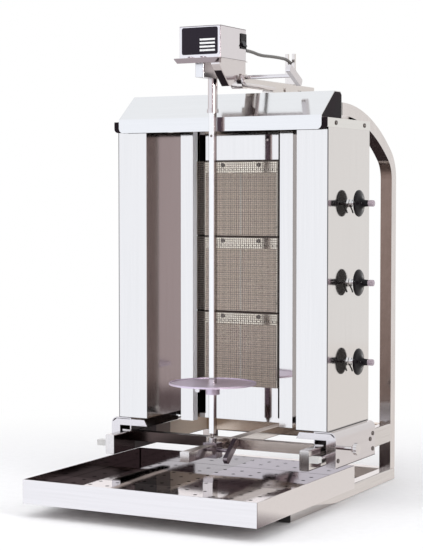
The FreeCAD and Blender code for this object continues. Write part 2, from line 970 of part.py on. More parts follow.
def guard():
    """Wire guard in front of the burners, upright wires before cross wires, with hooked ends."""
    wires = []
    edge = wing_inner - seat_gap
    half = edge - guard_wire / 2
    height = burner_top - burner_floor
    for i in range(guard_columns):
        x = -half + 2 * half * i / (guard_columns - 1)
        wires.append(
            box(
                x - guard_wire / 2, x + guard_wire / 2, guard_y, guard_y + guard_wire,
                burner_floor, burner_top,
            )
        )
    rows = []
    for i in range(guard_rows):
        z = burner_floor + guard_wire / 2 + (height - guard_wire) * i / (guard_rows - 1)
        rows.append(z)
        wires.append(
            box(
                -edge, edge, guard_y + guard_wire / 2, guard_y + guard_wire * 1.5,
                z - guard_wire / 2, z + guard_wire / 2,
            )
        )
    hook_y = guard_y + guard_wire
    hook_x = burner_half_width - guard_hook_inset
    for x in (-hook_x, hook_x):
        for z in (rows[1], rows[guard_rows // 2], rows[-2]):
            wires.append(
                box(
                    x - guard_wire / 2, x + guard_wire / 2, hook_y, burner_face_y,
                    z - guard_wire / 2, z + guard_wire / 2,
                )
            )
    return wires[0].multiFuse(wires[1:])


# Gas line

def manifold():
    """Gas pipe up the right side of the cabinet, with its threaded inlet through the rear cover."""
    length = knob_heights[-1] + pipe_over - pipe_bottom
    pipe = rod((pipe_x, knob_y, pipe_bottom), (0, 0, 1), pipe_radius, length)
    cap = rod(
        (pipe_x, knob_y, pipe_bottom + length), (0, 0, -1), pipe_radius + pipe_cap_rim,
        pipe_cap_length,
    )
    elbow = Part.makeSphere(pipe_radius + elbow_rim, Vec(pipe_x, knob_y, pipe_bottom))
    inner_nut_y = cabinet_rear_y - panel_sheet - locknut_length
    reach = cabinet_rear_y + locknut_length + inlet_length - knob_y
    run = rod((pipe_x, knob_y, pipe_bottom), (0, 1, 0), pipe_radius, inner_nut_y - knob_y)
    inlet = rod(
        (pipe_x, inner_nut_y, pipe_bottom), (0, 1, 0), inlet_radius, knob_y + reach - inner_nut_y
    )
    corners = []
    for corner in range(6):
        angle = math.radians(60 * corner)
        x = pipe_x + locknut_corner_radius * math.cos(angle)
        corners.append((x, pipe_bottom + locknut_corner_radius * math.sin(angle)))
    inner_nut = prism_y(corners, inner_nut_y, inner_nut_y + locknut_length)
    outer_nut = prism_y(corners, cabinet_rear_y, cabinet_rear_y + locknut_length)
    pipe = pipe.fuse([cap, elbow, run, inlet, inner_nut, outer_nut]).removeSplitter()
    bore = rod(
        (pipe_x, knob_y, pipe_bottom), (0, 1, 0), pipe_radius - pipe_wall, reach + 1
    )
    return pipe.cut(bore)


def valve(z):
    """Brass gas valve between the pipe and the side wall, bored for its spindle."""
    body = rod((valve_x, knob_y, z), (1, 0, 0), valve_radius, valve_length)
    neck = rod((valve_x + valve_length, knob_y, z), (1, 0, 0), valve_neck_radius, valve_neck)
    outlet = rod(
        (pipe_x + pipe_radius + valve_length / 2, knob_y, z), (0, 1, 0), valve_outlet_radius,
        valve_radius + valve_outlet,
    )
    body = body.fuse([neck, outlet]).removeSplitter()
    pipe = rod((pipe_x, knob_y, z - 2 * valve_radius), (0, 0, 1), pipe_radius, 4 * valve_radius)
    bore = rod(
        (valve_x + valve_bore_start, knob_y, z), (1, 0, 0), spindle_radius + running_gap,
        valve_length + valve_neck,
    )
    return body.cut(pipe).cut(bore)


def feed_pipe(z, top):
    """Thin pipe from a valve to its burner's mixing tube."""
    x0 = pipe_x + pipe_radius + valve_length / 2
    y0 = knob_y + valve_radius + valve_outlet
    y1 = burner_face_y + burner_depth
    mixer_z = top - burner_height / 2
    start = Vec(x0, y0, z)
    away = Vec(x0, y0 + feed_bend, z)
    turn = Vec(x0 - 2 * feed_bend, y1, mixer_z)
    end = Vec(burner_half_width + injector_length, y1, mixer_z)
    route = round_route([start, away, turn, end], feed_bend * 0.8)
    pipe = tube_on(route, feed_radius)
    injector = rod(
        (burner_half_width, y1, mixer_z), (1, 0, 0), injector_radius, injector_length
    )
    return pipe.fuse(injector).removeSplitter()


def round_route(points, radius):
    """A route of straight runs joined by tangent arcs of one radius, as a wire."""
    edges = []
    last = points[0]
    for before, corner, after in zip(points, points[1:], points[2:]):
        toward = (before - corner).normalize()
        away = (after - corner).normalize()
        half = (math.pi - toward.getAngle(away)) / 2
        run = radius * math.tan(half)
        first = corner + toward * run
        second = corner + away * run
        middle = corner + (toward + away).normalize() * (radius / math.cos(half) - radius)
        edges.append(Part.LineSegment(last, first).toShape())
        edges.append(Part.Arc(first, middle, second).toShape())
        last = second
    edges.append(Part.LineSegment(last, points[-1]).toShape())
    return Part.Wire(edges)


def tube_on(route, radius):
    """A round tube along a route."""
    start = route.Edges[0].Vertexes[0].Point
    direction = route.Edges[0].tangentAt(route.Edges[0].FirstParameter)
    circle = Part.Wire(Part.Circle(start, direction, radius).toShape())
    return route.makePipeShell([circle], True, False)


def spindle(z):
    """Valve spindle with a flat at its outer end, through the side wall into the knob."""
    x0 = valve_x + valve_bore_start + seat_gap
    shaft = rod((x0, knob_y, z), (1, 0, 0), spindle_radius, spindle_reach - x0)
    wide = 2 * spindle_radius
    flat = box(
        cabinet_half_width + spindle_flat_start, spindle_reach + 1, knob_y - wide, knob_y + wide,
        z + spindle_flat, z + wide,
    )
    return shaft.cut(flat)


def knob(z):
    """Control knob, a skirt that flares from a grip with a grey tip."""
    x0 = cabinet_half_width + knob_standoff
    skirt = knob_skirt_radius
    x1 = x0 + knob_skirt_depth
    points = [
        Vec(x0, 0, 0), Vec(x0, 0, skirt), Vec(x0 + knob_edge, 0, skirt),
        Vec(x0 + knob_edge + knob_edge_bevel, 0, skirt - knob_edge_bevel),
    ]
    edges = [Part.LineSegment(a, b).toShape() for a, b in zip(points, points[1:])]
    hub = Vec(x1, 0, knob_hub_radius)
    shoulder = Vec(x1 + knob_shoulder, 0, knob_grip_radius)
    edges.append(Part.LineSegment(points[-1], hub).toShape())
    middle = Vec(x1 + knob_shoulder_dip, 0, knob_grip_radius + knob_shoulder_rim)
    edges.append(Part.Arc(hub, middle, shoulder).toShape())
    rest = [
        shoulder, Vec(knob_grip_end, 0, knob_grip_radius), Vec(knob_grip_end, 0, knob_tip_radius),
        Vec(knob_tip_end - 1, 0, knob_tip_radius), Vec(knob_tip_end, 0, knob_tip_radius - 1),
        Vec(knob_tip_end, 0, 0), points[0],
    ]
    edges += [Part.LineSegment(a, b).toShape() for a, b in zip(rest, rest[1:])]
    body = Part.Face(Part.Wire(edges)).revolve(Vec(0, 0, 0), Vec(1, 0, 0), 360)
    depth = spindle_reach + seat_gap - x0 + knob_push
    reach = spindle_radius + running_gap
    bore = rod((x0 - 1, 0, 0), (1, 0, 0), reach, depth + 1)
    wide = 2 * spindle_radius
    flat = box(
        cabinet_half_width + spindle_flat_start + seat_gap + knob_push, x0 + depth + 1, -wide,
        wide, spindle_flat + running_gap, wide,
    )
    body = body.cut(bore.cut(flat))
    body.translate(Vec(0, knob_y, z))
    return body


# Drip tray

def tray():
    """Drip tray on the runners, folded from sheet with a rim turned inward."""
    y1 = tray_front_y + tray_length
    half = tray_half_width
    top = frame_tube + tray_height
    outer = box(-half, half, tray_front_y, y1, frame_tube, top)
    outer = outer.makeFillet(tray_corner, edges_along(outer, 2))
    inner = box(
        tray_sheet - half, half - tray_sheet, tray_front_y + tray_sheet, y1 - tray_sheet,
        frame_tube + tray_sheet, top + 1,
    )
    return outer.cut(inner)


def tray_plate():
    """Perforated plate in the tray, on short legs, with its edges turned down."""
    half = tray_half_width - tray_sheet - plate_gap
    y0 = tray_front_y + tray_sheet + plate_gap
    y1 = tray_front_y + tray_length - tray_sheet - plate_gap
    floor = frame_tube + tray_sheet
    skirt = plate_top - plate_skirt
    plate = box(-half, half, y0, y1, skirt, plate_top)
    hollow = box(
        plate_sheet - half, half - plate_sheet, y0 + plate_sheet, y1 - plate_sheet, skirt - 1,
        plate_top - plate_sheet,
    )
    plate = plate.cut(hollow)
    legs = []
    foot = plate_foot
    for x in (-half, half - foot):
        for y in (y0, y1 - plate_sheet):
            legs.append(box(x, x + foot, y, y + plate_sheet, floor, skirt))
    plate = plate.fuse(legs).removeSplitter()
    middle = (y0 + y1) / 2
    holes = []
    for column in range(plate_columns):
        x = (column - (plate_columns - 1) / 2) * plate_hole_pitch
        for row in range(plate_rows):
            y = middle + (row - (plate_rows - 1) / 2) * plate_hole_pitch
            holes.append(rod((x, y, plate_top - 3), (0, 0, 1), plate_hole, 5))
    return plate.cut(Part.makeCompound(holes))


# Saddle and spit

def saddle():
    """Saddle that slides on the centre bar under the spit."""
    y0 = spit_y - saddle_length / 2
    half = saddle_width / 2
    block = box(-half, half, y0, y0 + saddle_length, saddle_bottom, saddle_top)
    block = block.makeFillet(saddle_corner, edges_along(block, 1))
    gap = bar_size / 2 + slide_gap
    way = box(
        -gap, gap, y0 - 1, y0 + saddle_length + 1, bar_bottom - slide_gap, bar_top + slide_gap
    )
    bore = rod(
        (bar_size / 2, spit_y, lower_clamp_z), (1, 0, 0), clamp_radius + running_gap, 20
    )
    return block.cut(way).cut(bore)


def bearing_cup():
    """Cup on the saddle with a cone that centres the spit's point."""
    cup = rod((0, spit_y, saddle_top), (0, 0, 1), cup_radius, cup_height)
    cup = cup.makeFillet(1.0, [cup.Edges[0]])
    top = saddle_top + cup_height
    depth = top - (spit_tip_z - seat_gap)
    tip = Vec(0, spit_y, spit_tip_z - seat_gap)
    cone = Part.makeCone(spit_nose + seat_gap, cup_bore, depth, tip)
    return cup.cut(cone)


def clamp_screw(tip_x, handle_x, y, z, tilt):
    """Clamp screw along X with a flat cross handle at its outer end."""
    shaft = rod((tip_x, y, z), (1, 0, 0), clamp_radius, handle_x - tip_x)
    half = clamp_handle_length / 2
    width = clamp_handle_width / 2
    handle = box(0, clamp_handle_sheet, -half, half, -width, width)
    handle = handle.makeFillet(clamp_handle_corner, edges_along(handle, 0))
    turn = FreeCAD.Rotation(Vec(1, 0, 0), tilt)
    handle.Placement = FreeCAD.Placement(Vec(handle_x, y, z), turn)
    return shaft.fuse(handle).removeSplitter()


def spit():
    """Square spit with a pointed foot and a pin hole near its top."""
    half = spit_square / 2
    foot = spit_tip_z + spit_point
    bar = box(-half, half, spit_y - half, spit_y + half, foot, spit_top)
    bar = bar.makeChamfer(spit_bevel, edges_along(bar, 2))
    tip = Vec(0, spit_y, spit_tip_z)
    point = Part.makeCone(spit_nose, half - spit_bevel / 2, spit_point, tip)
    bar = bar.fuse(point).removeSplitter()
    return bar.cut(rod((0, spit_y - 20, spit_pin_z), (0, 1, 0), spit_pin_hole, 40))


def square_hole(gap, z0, z1):
    """The room that the square spit needs, with a gap all round."""
    half = spit_square / 2 + gap
    return box(-half, half, spit_y - half, spit_y + half, z0, z1)


def disc():
    """Meat disc with a raised rim and a clip hub below it, square-holed for the spit."""
    floor = disc_z - disc_sheet
    points = [
        Vec(0, 0, floor), Vec(disc_radius, 0, floor), Vec(disc_radius, 0, disc_z + disc_rim),
        Vec(disc_radius - disc_sheet, 0, disc_z + disc_rim),
        Vec(disc_radius - disc_sheet, 0, disc_z), Vec(0, 0, disc_z), Vec(0, 0, floor),
    ]
    plate = Part.Face(Part.makePolygon(points)).revolve(Vec(0, 0, 0), Vec(0, 0, 1), 360)
    hub = Part.makeCylinder(clip_radius, clip_height, Vec(0, 0, floor - clip_height))
    plate = plate.fuse(hub).removeSplitter()
    plate.translate(Vec(0, spit_y, 0))
    plate = plate.cut(square_hole(slide_gap, floor - clip_height - 1, disc_z + 1))
    z = floor - clip_height / 2
    bore = rod((-spit_square / 2, spit_y, z), (-1, 0, 0), clip_screw_radius + running_gap, 20)
    return plate.cut(bore)


def disc_screw():
    """Wing screw that holds the disc's clip on the spit."""
    z = disc_z - disc_sheet - clip_height / 2
    tip = -spit_square / 2 - seat_gap
    shaft = rod((tip, spit_y, z), (-1, 0, 0), clip_screw_radius, clip_screw_reach + tip)
    half = clip_wing / 2
    thick = clip_wing_sheet / 2
    wing_plate = box(
        1 - clip_screw_reach - clip_wing_length, 1 - clip_screw_reach, spit_y - thick,
        spit_y + thick, z - half, z + half,
    )
    wing_plate = wing_plate.makeFillet(clip_wing_corner, edges_along(wing_plate, 1))
    return shaft.fuse(wing_plate).removeSplitter()


def drive_tube():
    """Drive tube that turns the spit, square inside, with a collar at its mouth."""
    tube = rod((0, spit_y, drive_bottom), (0, 0, 1), drive_radius, drive_top - drive_bottom)
    collar = rod((0, spit_y, drive_bottom), (0, 0, 1), drive_collar_radius, drive_collar)
    collar = collar.makeFillet(drive_collar_edge, collar.Edges[:1])
    shaft = rod((0, spit_y, drive_top), (0, 0, 1), drive_shaft_radius, drive_shaft)
    tube = tube.fuse([collar, shaft]).removeSplitter()
    room = spit_top + spit_lift + 2
    return tube.cut(square_hole(slide_gap, drive_bottom - 1, room))


# Motor

def gear_block():
    """Gear block below the shelf whose shaft bore turns the drive tube."""
    block = box(
        -gear_half_width, gear_half_width, gear_front_y, gear_front_y + gear_length, gear_bottom,
        shelf_top - shelf_sheet,
    )
    block = block.makeFillet(gear_corner, edges_along(block, 2))
    bore = rod(
        (0, spit_y, gear_bottom - 1), (0, 0, 1), drive_shaft_radius + running_gap,
        drive_shaft + 1 + seat_gap,
    )
    return block.cut(bore)


def cheek_outline():
    """The cheek below the shelf seen from the side, as (y, z)."""
    under = shelf_top - shelf_sheet
    rear = housing_front_y + housing_length - cheek_rear_gap
    return [
        (cheek_front_y, under),
        (cheek_front_y + cheek_sheet, under - cheek_chin),
        (cheek_nose_y, cheek_nose_z),
        (cheek_heel_y, cheek_heel_z),
        (cheek_step_y, clamp_block_top),
        (rear, clamp_block_top),
        (rear, under),
    ]


def motor_bracket():
    """Shelf under the motor with a front lip, and a hollow cheek that reaches down to the arm."""
    y1 = housing_front_y + housing_length
    path = [
        (shelf_front_y, shelf_top - shelf_lip), (shelf_front_y, shelf_top), (y1, shelf_top),
    ]
    shelf = prism_x(sheet_outline(path, -shelf_sheet), -shelf_half_width, shelf_half_width)
    low = shelf_top - shelf_lip
    slant = [
        (shelf_half_width + 1, low - 1), (shelf_half_width - shelf_lip_slant, low - 1),
        (shelf_half_width - shelf_lip_slant, low), (shelf_half_width, shelf_top - shelf_sheet),
        (shelf_half_width + 1, shelf_top - shelf_sheet),
    ]
    wedge = prism_y(slant, shelf_front_y - 1, shelf_front_y + shelf_sheet + 1)
    shelf = shelf.cut(wedge).cut(mirrored(wedge))
    cheek = prism_x(cheek_outline(), cheek_x - cheek_width, cheek_x)
    corners = cheek_outline()
    centre_y = sum(y for y, z in corners) / len(corners)
    centre_z = sum(z for y, z in corners) / len(corners)
    points = []
    for y, z in corners:
        reach = math.hypot(y - centre_y, z - centre_z)
        share = (reach - 2 * cheek_sheet) / reach
        points.append((centre_y + (y - centre_y) * share, centre_z + (z - centre_z) * share))
    room = prism_x(points, cheek_x - cheek_width + cheek_sheet, cheek_x - cheek_sheet)
    return shelf.fuse(cheek.cut(room)).removeSplitter()


def motor_housing():
    """Sheet cover over the motor, open below, with the switch's cut-out in its right side."""
    y0 = housing_front_y
    y1 = y0 + housing_length
    half = housing_half_width
    cover = box(-half, half, y0, y1, shelf_top, housing_top)
    cover = cover.makeFillet(housing_corner, edges_along(cover, 2))
    wall = housing_sheet
    room = box(wall - half, half - wall, y0 + wall, y1 - wall, shelf_top - 1, housing_top - wall)
    cover = cover.cut(room)
    wide = rocker_width / 2 + 1.0
    high = rocker_height / 2 + 1.0
    cut_out = box(
        half - 5, half + 5, rocker_y - wide, rocker_y + wide, rocker_z - high, rocker_z + high
    )
    gland = cable_points[0]
    passage = rod((gland[0], y1 - 5, gland[2]), (0, 1, 0), gland_radius - gland_collar, 10)
    return cover.cut(cut_out).cut(passage)


def label_plate():
    """Bare black plate with round corners on the housing's front."""
    plate = rounded_plate(label_width, label_height, label_corner, label_sheet)
    plate.translate(Vec(0, housing_front_y - label_sheet, label_z))
    return plate


def rocker_frame():
    """Frame of the rocker switch on the housing's right side, with its pivot ears."""
    x0 = housing_half_width
    wide = rocker_frame_width / 2
    high = rocker_frame_height / 2
    frame = box(
        x0, x0 + rocker_frame_sheet, rocker_y - wide, rocker_y + wide, rocker_z - high,
        rocker_z + high,
    )
    frame = frame.makeFillet(rocker_frame_corner, edges_along(frame, 0))
    inner_wide = rocker_width / 2 + seat_gap
    inner_high = rocker_height / 2 + seat_gap
    wall = rocker_well_wall
    rear = x0 - rocker_well_depth
    well = box(
        rear, x0 + rocker_frame_sheet / 2, rocker_y - inner_wide - wall,
        rocker_y + inner_wide + wall, rocker_z - inner_high - wall, rocker_z + inner_high + wall,
    )
    room = box(
        rear + 2 * wall, x0 + rocker_depth, rocker_y - inner_wide, rocker_y + inner_wide,
        rocker_z - inner_high, rocker_z + inner_high,
    )
    return frame.fuse(well).cut(room).removeSplitter()


def rocker():
    """Rocker of the switch, its face a shallow V, with a round back about its pivot."""
    x0 = housing_half_width + rocker_frame_sheet
    pivot_x = x0 - rocker_pivot
    half = rocker_height / 2
    tip = rocker_depth - rocker_pivot
    front = half - rocker_edge
    rear = front - rocker_shoulder
    points = [
        (pivot_x - rocker_shoulder, -rear), (pivot_x + tip, -front), (pivot_x + rocker_dip, 0),
        (pivot_x + tip, front), (pivot_x - rocker_shoulder, rear),
        (pivot_x - rocker_back, rocker_back / 2), (pivot_x - rocker_back, -rocker_back / 2),
    ]
    wide = rocker_width / 2
    key = prism_y(points, rocker_y - wide, rocker_y + wide)
    key.rotate(Vec(pivot_x, 0, 0), Vec(0, 1, 0), -rocker_swing)
    key.translate(Vec(0, 0, rocker_z))
    return key


# Arm

def arm_bar():
    """Square tube that carries the motor, slotted on both sides for the bolt of its track."""
    half = arm_size / 2
    bar = square_tube(
        arm_x - half, arm_x + half, clamp_block_front_y + clamp_block_wall, arm_rear_y,
        arm_top - arm_size, arm_top, 1, arm_wall, arm_corner,
    )
    reach = track_bolt_radius + slide_gap
    z = arm_top - arm_size + track_wall_height / 2
    slot = box(
        arm_x - arm_size, arm_x + arm_size, track_bolt_y, track_bolt_y + arm_travel, z - reach,
        z + reach,
    )
    ends = []
    for y in (track_bolt_y, track_bolt_y + arm_travel):
        ends.append(rod((arm_x - arm_size, y, z), (1, 0, 0), reach, 2 * arm_size))
    return bar.cut(slot.fuse(ends))


def clamp_block():
    """Block below the cheek round the front end of the arm, with a round lower corner."""
    half = arm_size / 2 + clamp_block_wall
    mid = arm_top - arm_size / 2
    y0 = clamp_block_front_y
    y1 = y0 + clamp_block_length
    block = box(arm_x - half, arm_x + half, y0, y1, mid - half, clamp_block_top)
    lower = [
        e for e in edges_along(block, 0)
        if abs(e.CenterOfMass.y - y0) < 0.01 and e.CenterOfMass.z < mid
    ]
    block = block.makeFillet(clamp_block_corner, lower)
    hold = arm_size / 2
    room = box(
        arm_x - hold, arm_x + hold, y0 + clamp_block_wall, y1 + 1, mid - hold, mid + hold
    )
    bore = rod(
        (arm_x, upper_clamp_y, upper_clamp_z), (1, 0, 0), clamp_radius + running_gap, 40
    )
    return block.cut(room).cut(bore)


def arm_track(tube_top):
    """Open channel in which the arm slides, on a riser above the cross tube."""
    half = arm_size / 2 + slide_gap
    outer = half + track_wall
    floor = arm_top - arm_size - slide_gap
    y1 = track_front_y + track_length
    channel = box(
        arm_x - outer, arm_x + outer, track_front_y, y1, floor - track_wall,
        floor + track_wall_height,
    )
    channel = channel.makeFillet(track_corner, edges_along(channel, 1))
    above = floor + 2 * track_wall_height
    room = box(arm_x - half, arm_x + half, track_front_y - 1, y1 + 1, floor, above)
    cap = box(
        arm_x - outer - 1, arm_x + outer + 1, track_front_y - 1, y1 + 1,
        floor + track_wall_height - track_corner, above,
    )
    channel = channel.cut(room).cut(cap)
    riser = box(
        arm_x - half, arm_x + half, arch_cross_y - frame_tube / 2 + frame_corner,
        arch_cross_y + frame_tube / 2 - frame_corner, tube_top, floor - track_wall,
    )
    channel = channel.fuse(riser).removeSplitter()
    z = arm_top - arm_size + track_wall_height / 2
    hole = rod((arm_x - outer - 1, track_bolt_y, z), (1, 0, 0), track_bolt_radius, 2 * outer + 2)
    return channel.cut(hole)


def track_bolt():
    """Bolt across the track and through the arm's slots, which stops the arm at both ends."""
    outer = arm_size / 2 + slide_gap + track_wall
    z = arm_top - arm_size + track_wall_height / 2
    bolt = rod((arm_x - outer, track_bolt_y, z), (1, 0, 0), track_bolt_radius, 2 * outer)
    cap = track_bolt_cap
    head = rod((arm_x + outer, track_bolt_y, z), (1, 0, 0), track_bolt_head, cap)
    nut = rod((arm_x - outer, track_bolt_y, z), (-1, 0, 0), track_bolt_head, cap)
    return bolt.fuse([head, nut]).removeSplitter()


def cable_post():
    """Flat post on the arm, with a slot in its head for the cable."""
    top = arm_top
    half = post_width / 2
    y0 = post_y - post_sheet / 2
    post = box(arm_x - half, arm_x + half, y0, y0 + post_sheet, top, post_top)
    slot = box(
        arm_x - post_slot / 2, arm_x + post_slot / 2, y0 - 1, y0 + post_sheet + 1,
        post_slot_bottom + post_slot / 2, post_top + 1,
    )
    seat = rod(
        (arm_x, y0 - 1, post_slot_bottom + post_slot / 2), (0, 1, 0), post_slot / 2,
        post_sheet + 2,
    )
    return post.cut(slot.fuse(seat))


def cable():
    """Motor cable, straight runs joined by the largest tangent arcs that fit."""
    points = [Vec(*p) for p in cable_points]
    edges = []
    last = points[0]
    for before, corner, after in zip(points, points[1:], points[2:]):
        toward = before - corner
        away = after - corner
        shorter = min(toward.Length, away.Length)
        half = (math.pi - toward.getAngle(away)) / 2
        run = 0.45 * shorter
        radius = run / math.tan(half)
        toward.normalize()
        away.normalize()
        first = corner + toward * run
        second = corner + away * run
        inner = (toward + away).normalize() * (radius / math.cos(half) - radius)
        edges.append(Part.LineSegment(last, first).toShape())
        edges.append(Part.Arc(first, corner + inner, second).toShape())
        print("cable radius", round(radius, 1), "in diameters", round(radius / cable_diameter, 1))
        last = second
    edges.append(Part.LineSegment(last, points[-1]).toShape())
    route = Part.Wire(edges)
    tube = tube_on(route, cable_diameter / 2)
    section = math.pi * (cable_diameter / 2) ** 2
    print("cable length", round(route.Length, 1), "volume ratio", tube.Volume / section / route.Length)
    return tube


def cable_glands():
    """Grommets round the cable, one in the housing's back and one on the arm."""
    start = cable_points[0]
    end = cable_points[-1]
    wall_y = housing_front_y + housing_length
    collar = gland_radius - gland_collar
    flange = start[1] - wall_y
    first = rod((start[0], wall_y, start[2]), (0, 1, 0), gland_radius, flange)
    neck = rod(
        (start[0], wall_y - housing_sheet, start[2]), (0, 1, 0), collar - slide_gap, housing_sheet
    )
    top = arm_top
    second = rod((end[0], end[1], top), (0, 0, 1), gland_radius, end[2] - top)
    return first.fuse(neck).removeSplitter(), second


# Screws

def bracket_screws():
    """Screw heads on the outer faces of both side brackets."""
    rear = bracket_length - bracket_screw_inset
    places = (
        (bracket_screw_inset, bracket_screw_low),
        (rear, bracket_screw_low),
        (rear, bracket_screw_high),
        (bracket_length - bracket_screw_middle_inset, bracket_screw_middle),
    )
    heads = []
    for along, up in places:
        place = (bracket_half_width, cabinet_front_y + along, bracket_bottom + up)
        heads.append(screw_head(place, (1, 0, 0)))
    return heads + [mirrored(head) for head in heads]


def strap_screws():
    """Screw heads on the outer faces of both straps."""
    x = roof_half_width + strap_width
    z = cabinet_top + strap_height / 2
    heads = []
    for y in (strap_front_y + strap_screw_front, strap_rear_y - strap_screw_rear):
        heads.append(screw_head((x, y, z), (1, 0, 0)))
    return heads + [mirrored(head) for head in heads]


def header_screws():
    """Screw heads on the burners' header strips."""
    heads = []
    for top in burner_tops:
        z = top - burner_rim - header_screw_drop
        for x in (-header_screw_x, header_screw_x):
            heads.append(screw_head((x, burner_face_y, z), (0, -1, 0)))
    return heads


def build():
    """Make every sub-part in its place."""
    cross, cross_top = arch_cross()
    keep("runners", runner(), mirrored(runner()))
    keep("cross_tubes", cross_tube(frame_front_y), cross_tube(upright_front_y))
    keep("arches", arch(), mirrored(arch()))
    keep("arch_cross_tube", cross)
    keep("rails", rail(), mirrored(rail()))
    keep("front_channel", front_channel())
    keep("rear_member", rear_member())
    keep("centre_bar", centre_bar())
    runner_plug = tube_plug(
        frame_inner, frame_half_width, frame_front_y, plug_rise, frame_tube - plug_rise, frame_wall
    )
    keep("tube_plugs", runner_plug, mirrored(runner_plug))

    keep("side_panel_right", side_panel())
    keep("side_panel_left", plain_side_panel())
    keep("back_panel", back_panel())
    keep("wings", wing(), mirrored(wing()))
    keep("heat_shields", heat_shield(), mirrored(heat_shield()))
    keep("floor_plates", *floor_plates())
    inlet_hole = rod(
        (pipe_x, cabinet_rear_y - 10, pipe_bottom), (0, 1, 0), inlet_radius + slide_gap, 20
    )
    keep("rear_cover", rear_cover().cut(inlet_hole))
    keep("roof_pan", roof())
    keep("hood", hood())
    ends = (hood_end(), lip_cap())
    keep("end_caps", *ends, *[mirrored(end) for end in ends])
    keep("straps", strap(), mirrored(strap()))
    keep("side_brackets", side_bracket(), mirrored(side_bracket()))
    keep("guide_rods", guide_rod(), mirrored(guide_rod()))
    keep("guide_blocks", guide_block(), mirrored(guide_block()))
    keep("hand_screw", hand_screw())

    keep("burner_bodies", *[burner_body(top) for top in burner_tops])
    tiles = []
    for top in burner_tops:
        tiles.extend(burner_tile_pair(top))
    keep("burner_tiles", *tiles)
    keep("burner_headers", *[burner_header(top) for top in burner_tops])
    keep("burner_guard", guard())

    feeds = [feed_pipe(z, top) for z, top in zip(knob_heights, burner_tops[::-1])]
    keep("gas_pipes", manifold(), *feeds)
    keep("gas_valves", *[valve(z) for z in knob_heights])
    for number, z in enumerate(knob_heights, 1):
        keep("spindle_%d" % number, spindle(z))
        keep("knob_%d" % number, knob(z))

    keep("tray", tray())
    keep("tray_plate", tray_plate())

    keep("saddle", saddle())
    keep("bearing_cup", bearing_cup())
    lower_tip = bar_size / 2 + slide_gap + seat_gap
    keep(
        "lower_clamp",
        clamp_screw(lower_tip, lower_clamp_x, spit_y, lower_clamp_z, lower_clamp_tilt),
    )
    keep("spit", spit())
    keep("disc", disc())
    keep("disc_screw", disc_screw())
    keep("drive_tube", drive_tube())

    keep("gear_block", gear_block())
    keep("motor_bracket", motor_bracket())
    keep("motor_housing", motor_housing())
    keep("label_plate", label_plate())
    keep("rocker_frame", rocker_frame())
    keep("rocker", rocker())
    keep("arm_bar", arm_bar())
    keep("clamp_block", clamp_block())
    keep("arm_track", arm_track(cross_top), track_bolt())
    keep("cable_post", cable_post())
    keep("cable", cable())
    keep("cable_glands", *cable_glands())
    block_face = arm_x + arm_size / 2 + seat_gap
    keep(
        "upper_clamp",
        clamp_screw(block_face, upper_clamp_x, upper_clamp_y, upper_clamp_z, upper_clamp_tilt),
    )

    keep("screws", *bracket_screws(), *strap_screws(), *header_screws())


def export():
    """Write each sub-part to its own file."""
    os.makedirs("parts", exist_ok=True)
    for name, solids in nodes.items():
        shape = solids[0] if len(solids) == 1 else Part.makeCompound(solids)
        if not shape.isValid() or not solids:
            print("not a sound solid:", name)
        shape.exportStep("parts/%s.step" % name)
    print(len(nodes), "sub-parts,", sum(len(s) for s in nodes.values()), "solids")


build()
export()
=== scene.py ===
import bpy
import math
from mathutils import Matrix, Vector


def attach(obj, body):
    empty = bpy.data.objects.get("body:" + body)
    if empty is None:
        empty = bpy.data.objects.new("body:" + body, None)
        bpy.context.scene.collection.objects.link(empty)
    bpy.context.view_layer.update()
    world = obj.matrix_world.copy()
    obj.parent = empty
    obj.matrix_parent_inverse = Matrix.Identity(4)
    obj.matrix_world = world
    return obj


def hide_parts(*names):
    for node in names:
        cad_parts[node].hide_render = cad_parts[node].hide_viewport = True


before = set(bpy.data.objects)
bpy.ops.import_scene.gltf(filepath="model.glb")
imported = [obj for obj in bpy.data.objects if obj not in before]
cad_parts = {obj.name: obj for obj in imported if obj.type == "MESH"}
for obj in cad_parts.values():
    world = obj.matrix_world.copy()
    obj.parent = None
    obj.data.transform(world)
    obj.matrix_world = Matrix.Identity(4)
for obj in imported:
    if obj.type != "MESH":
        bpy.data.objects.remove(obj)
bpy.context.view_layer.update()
bpy.context.scene.view_settings.view_transform = "Standard"

# Camera
# It stands in front of the grill, to the right of the spit, a little above the middle,
# and looks down by a few degrees with a long lens.
camera_heading = Vector((-0.46832, 0.88220, -0.04908))
eye = bpy.data.cameras.new("camera")
eye.sensor_fit = "HORIZONTAL"
eye.sensor_width = 36.0
eye.lens = 135.33
camera = bpy.data.objects.new("camera", eye)
bpy.context.scene.collection.objects.link(camera)
camera.location = (1.4652, -2.6591, 0.6033)
camera.rotation_euler = camera_heading.to_track_quat("-Z", "Y").to_euler()
bpy.context.scene.camera = camera

# Motor cable
# A grey rubber cable from the back of the motor housing, over the slot of its post, into the arm.
# It is clamped by a grommet at both ends and travels with the arm, so its slack stays the same.
cable_radius = 0.00325
cable_line = bpy.data.curves.new("motor_cable", "CURVE")
cable_line.dimensions = "3D"
cable_line.bevel_depth = cable_radius
cable_line.bevel_resolution = 5
cable_line.resolution_u = 12
cable_line.use_fill_caps = True
cable_run = cable_line.splines.new("NURBS")
cable_route = [
    (0.038, 0.166, 0.893), (0.038, 0.196, 0.8935), (0.0375, 0.240, 0.8885),
    (0.037, 0.290, 0.8905), (0.037, 0.336, 0.891), (0.037, 0.368, 0.890),
    (0.037, 0.3975, 0.880), (0.037, 0.411, 0.8625), (0.037, 0.413, 0.841),
]
cable_run.points.add(len(cable_route) - 1)
for point, place in zip(cable_run.points, cable_route):
    point.co = (*place, 1)
cable_run.order_u = 3
cable_run.use_endpoint_u = True
motor_cable = bpy.data.objects.new("motor_cable", cable_line)
bpy.context.scene.collection.objects.link(motor_cable)

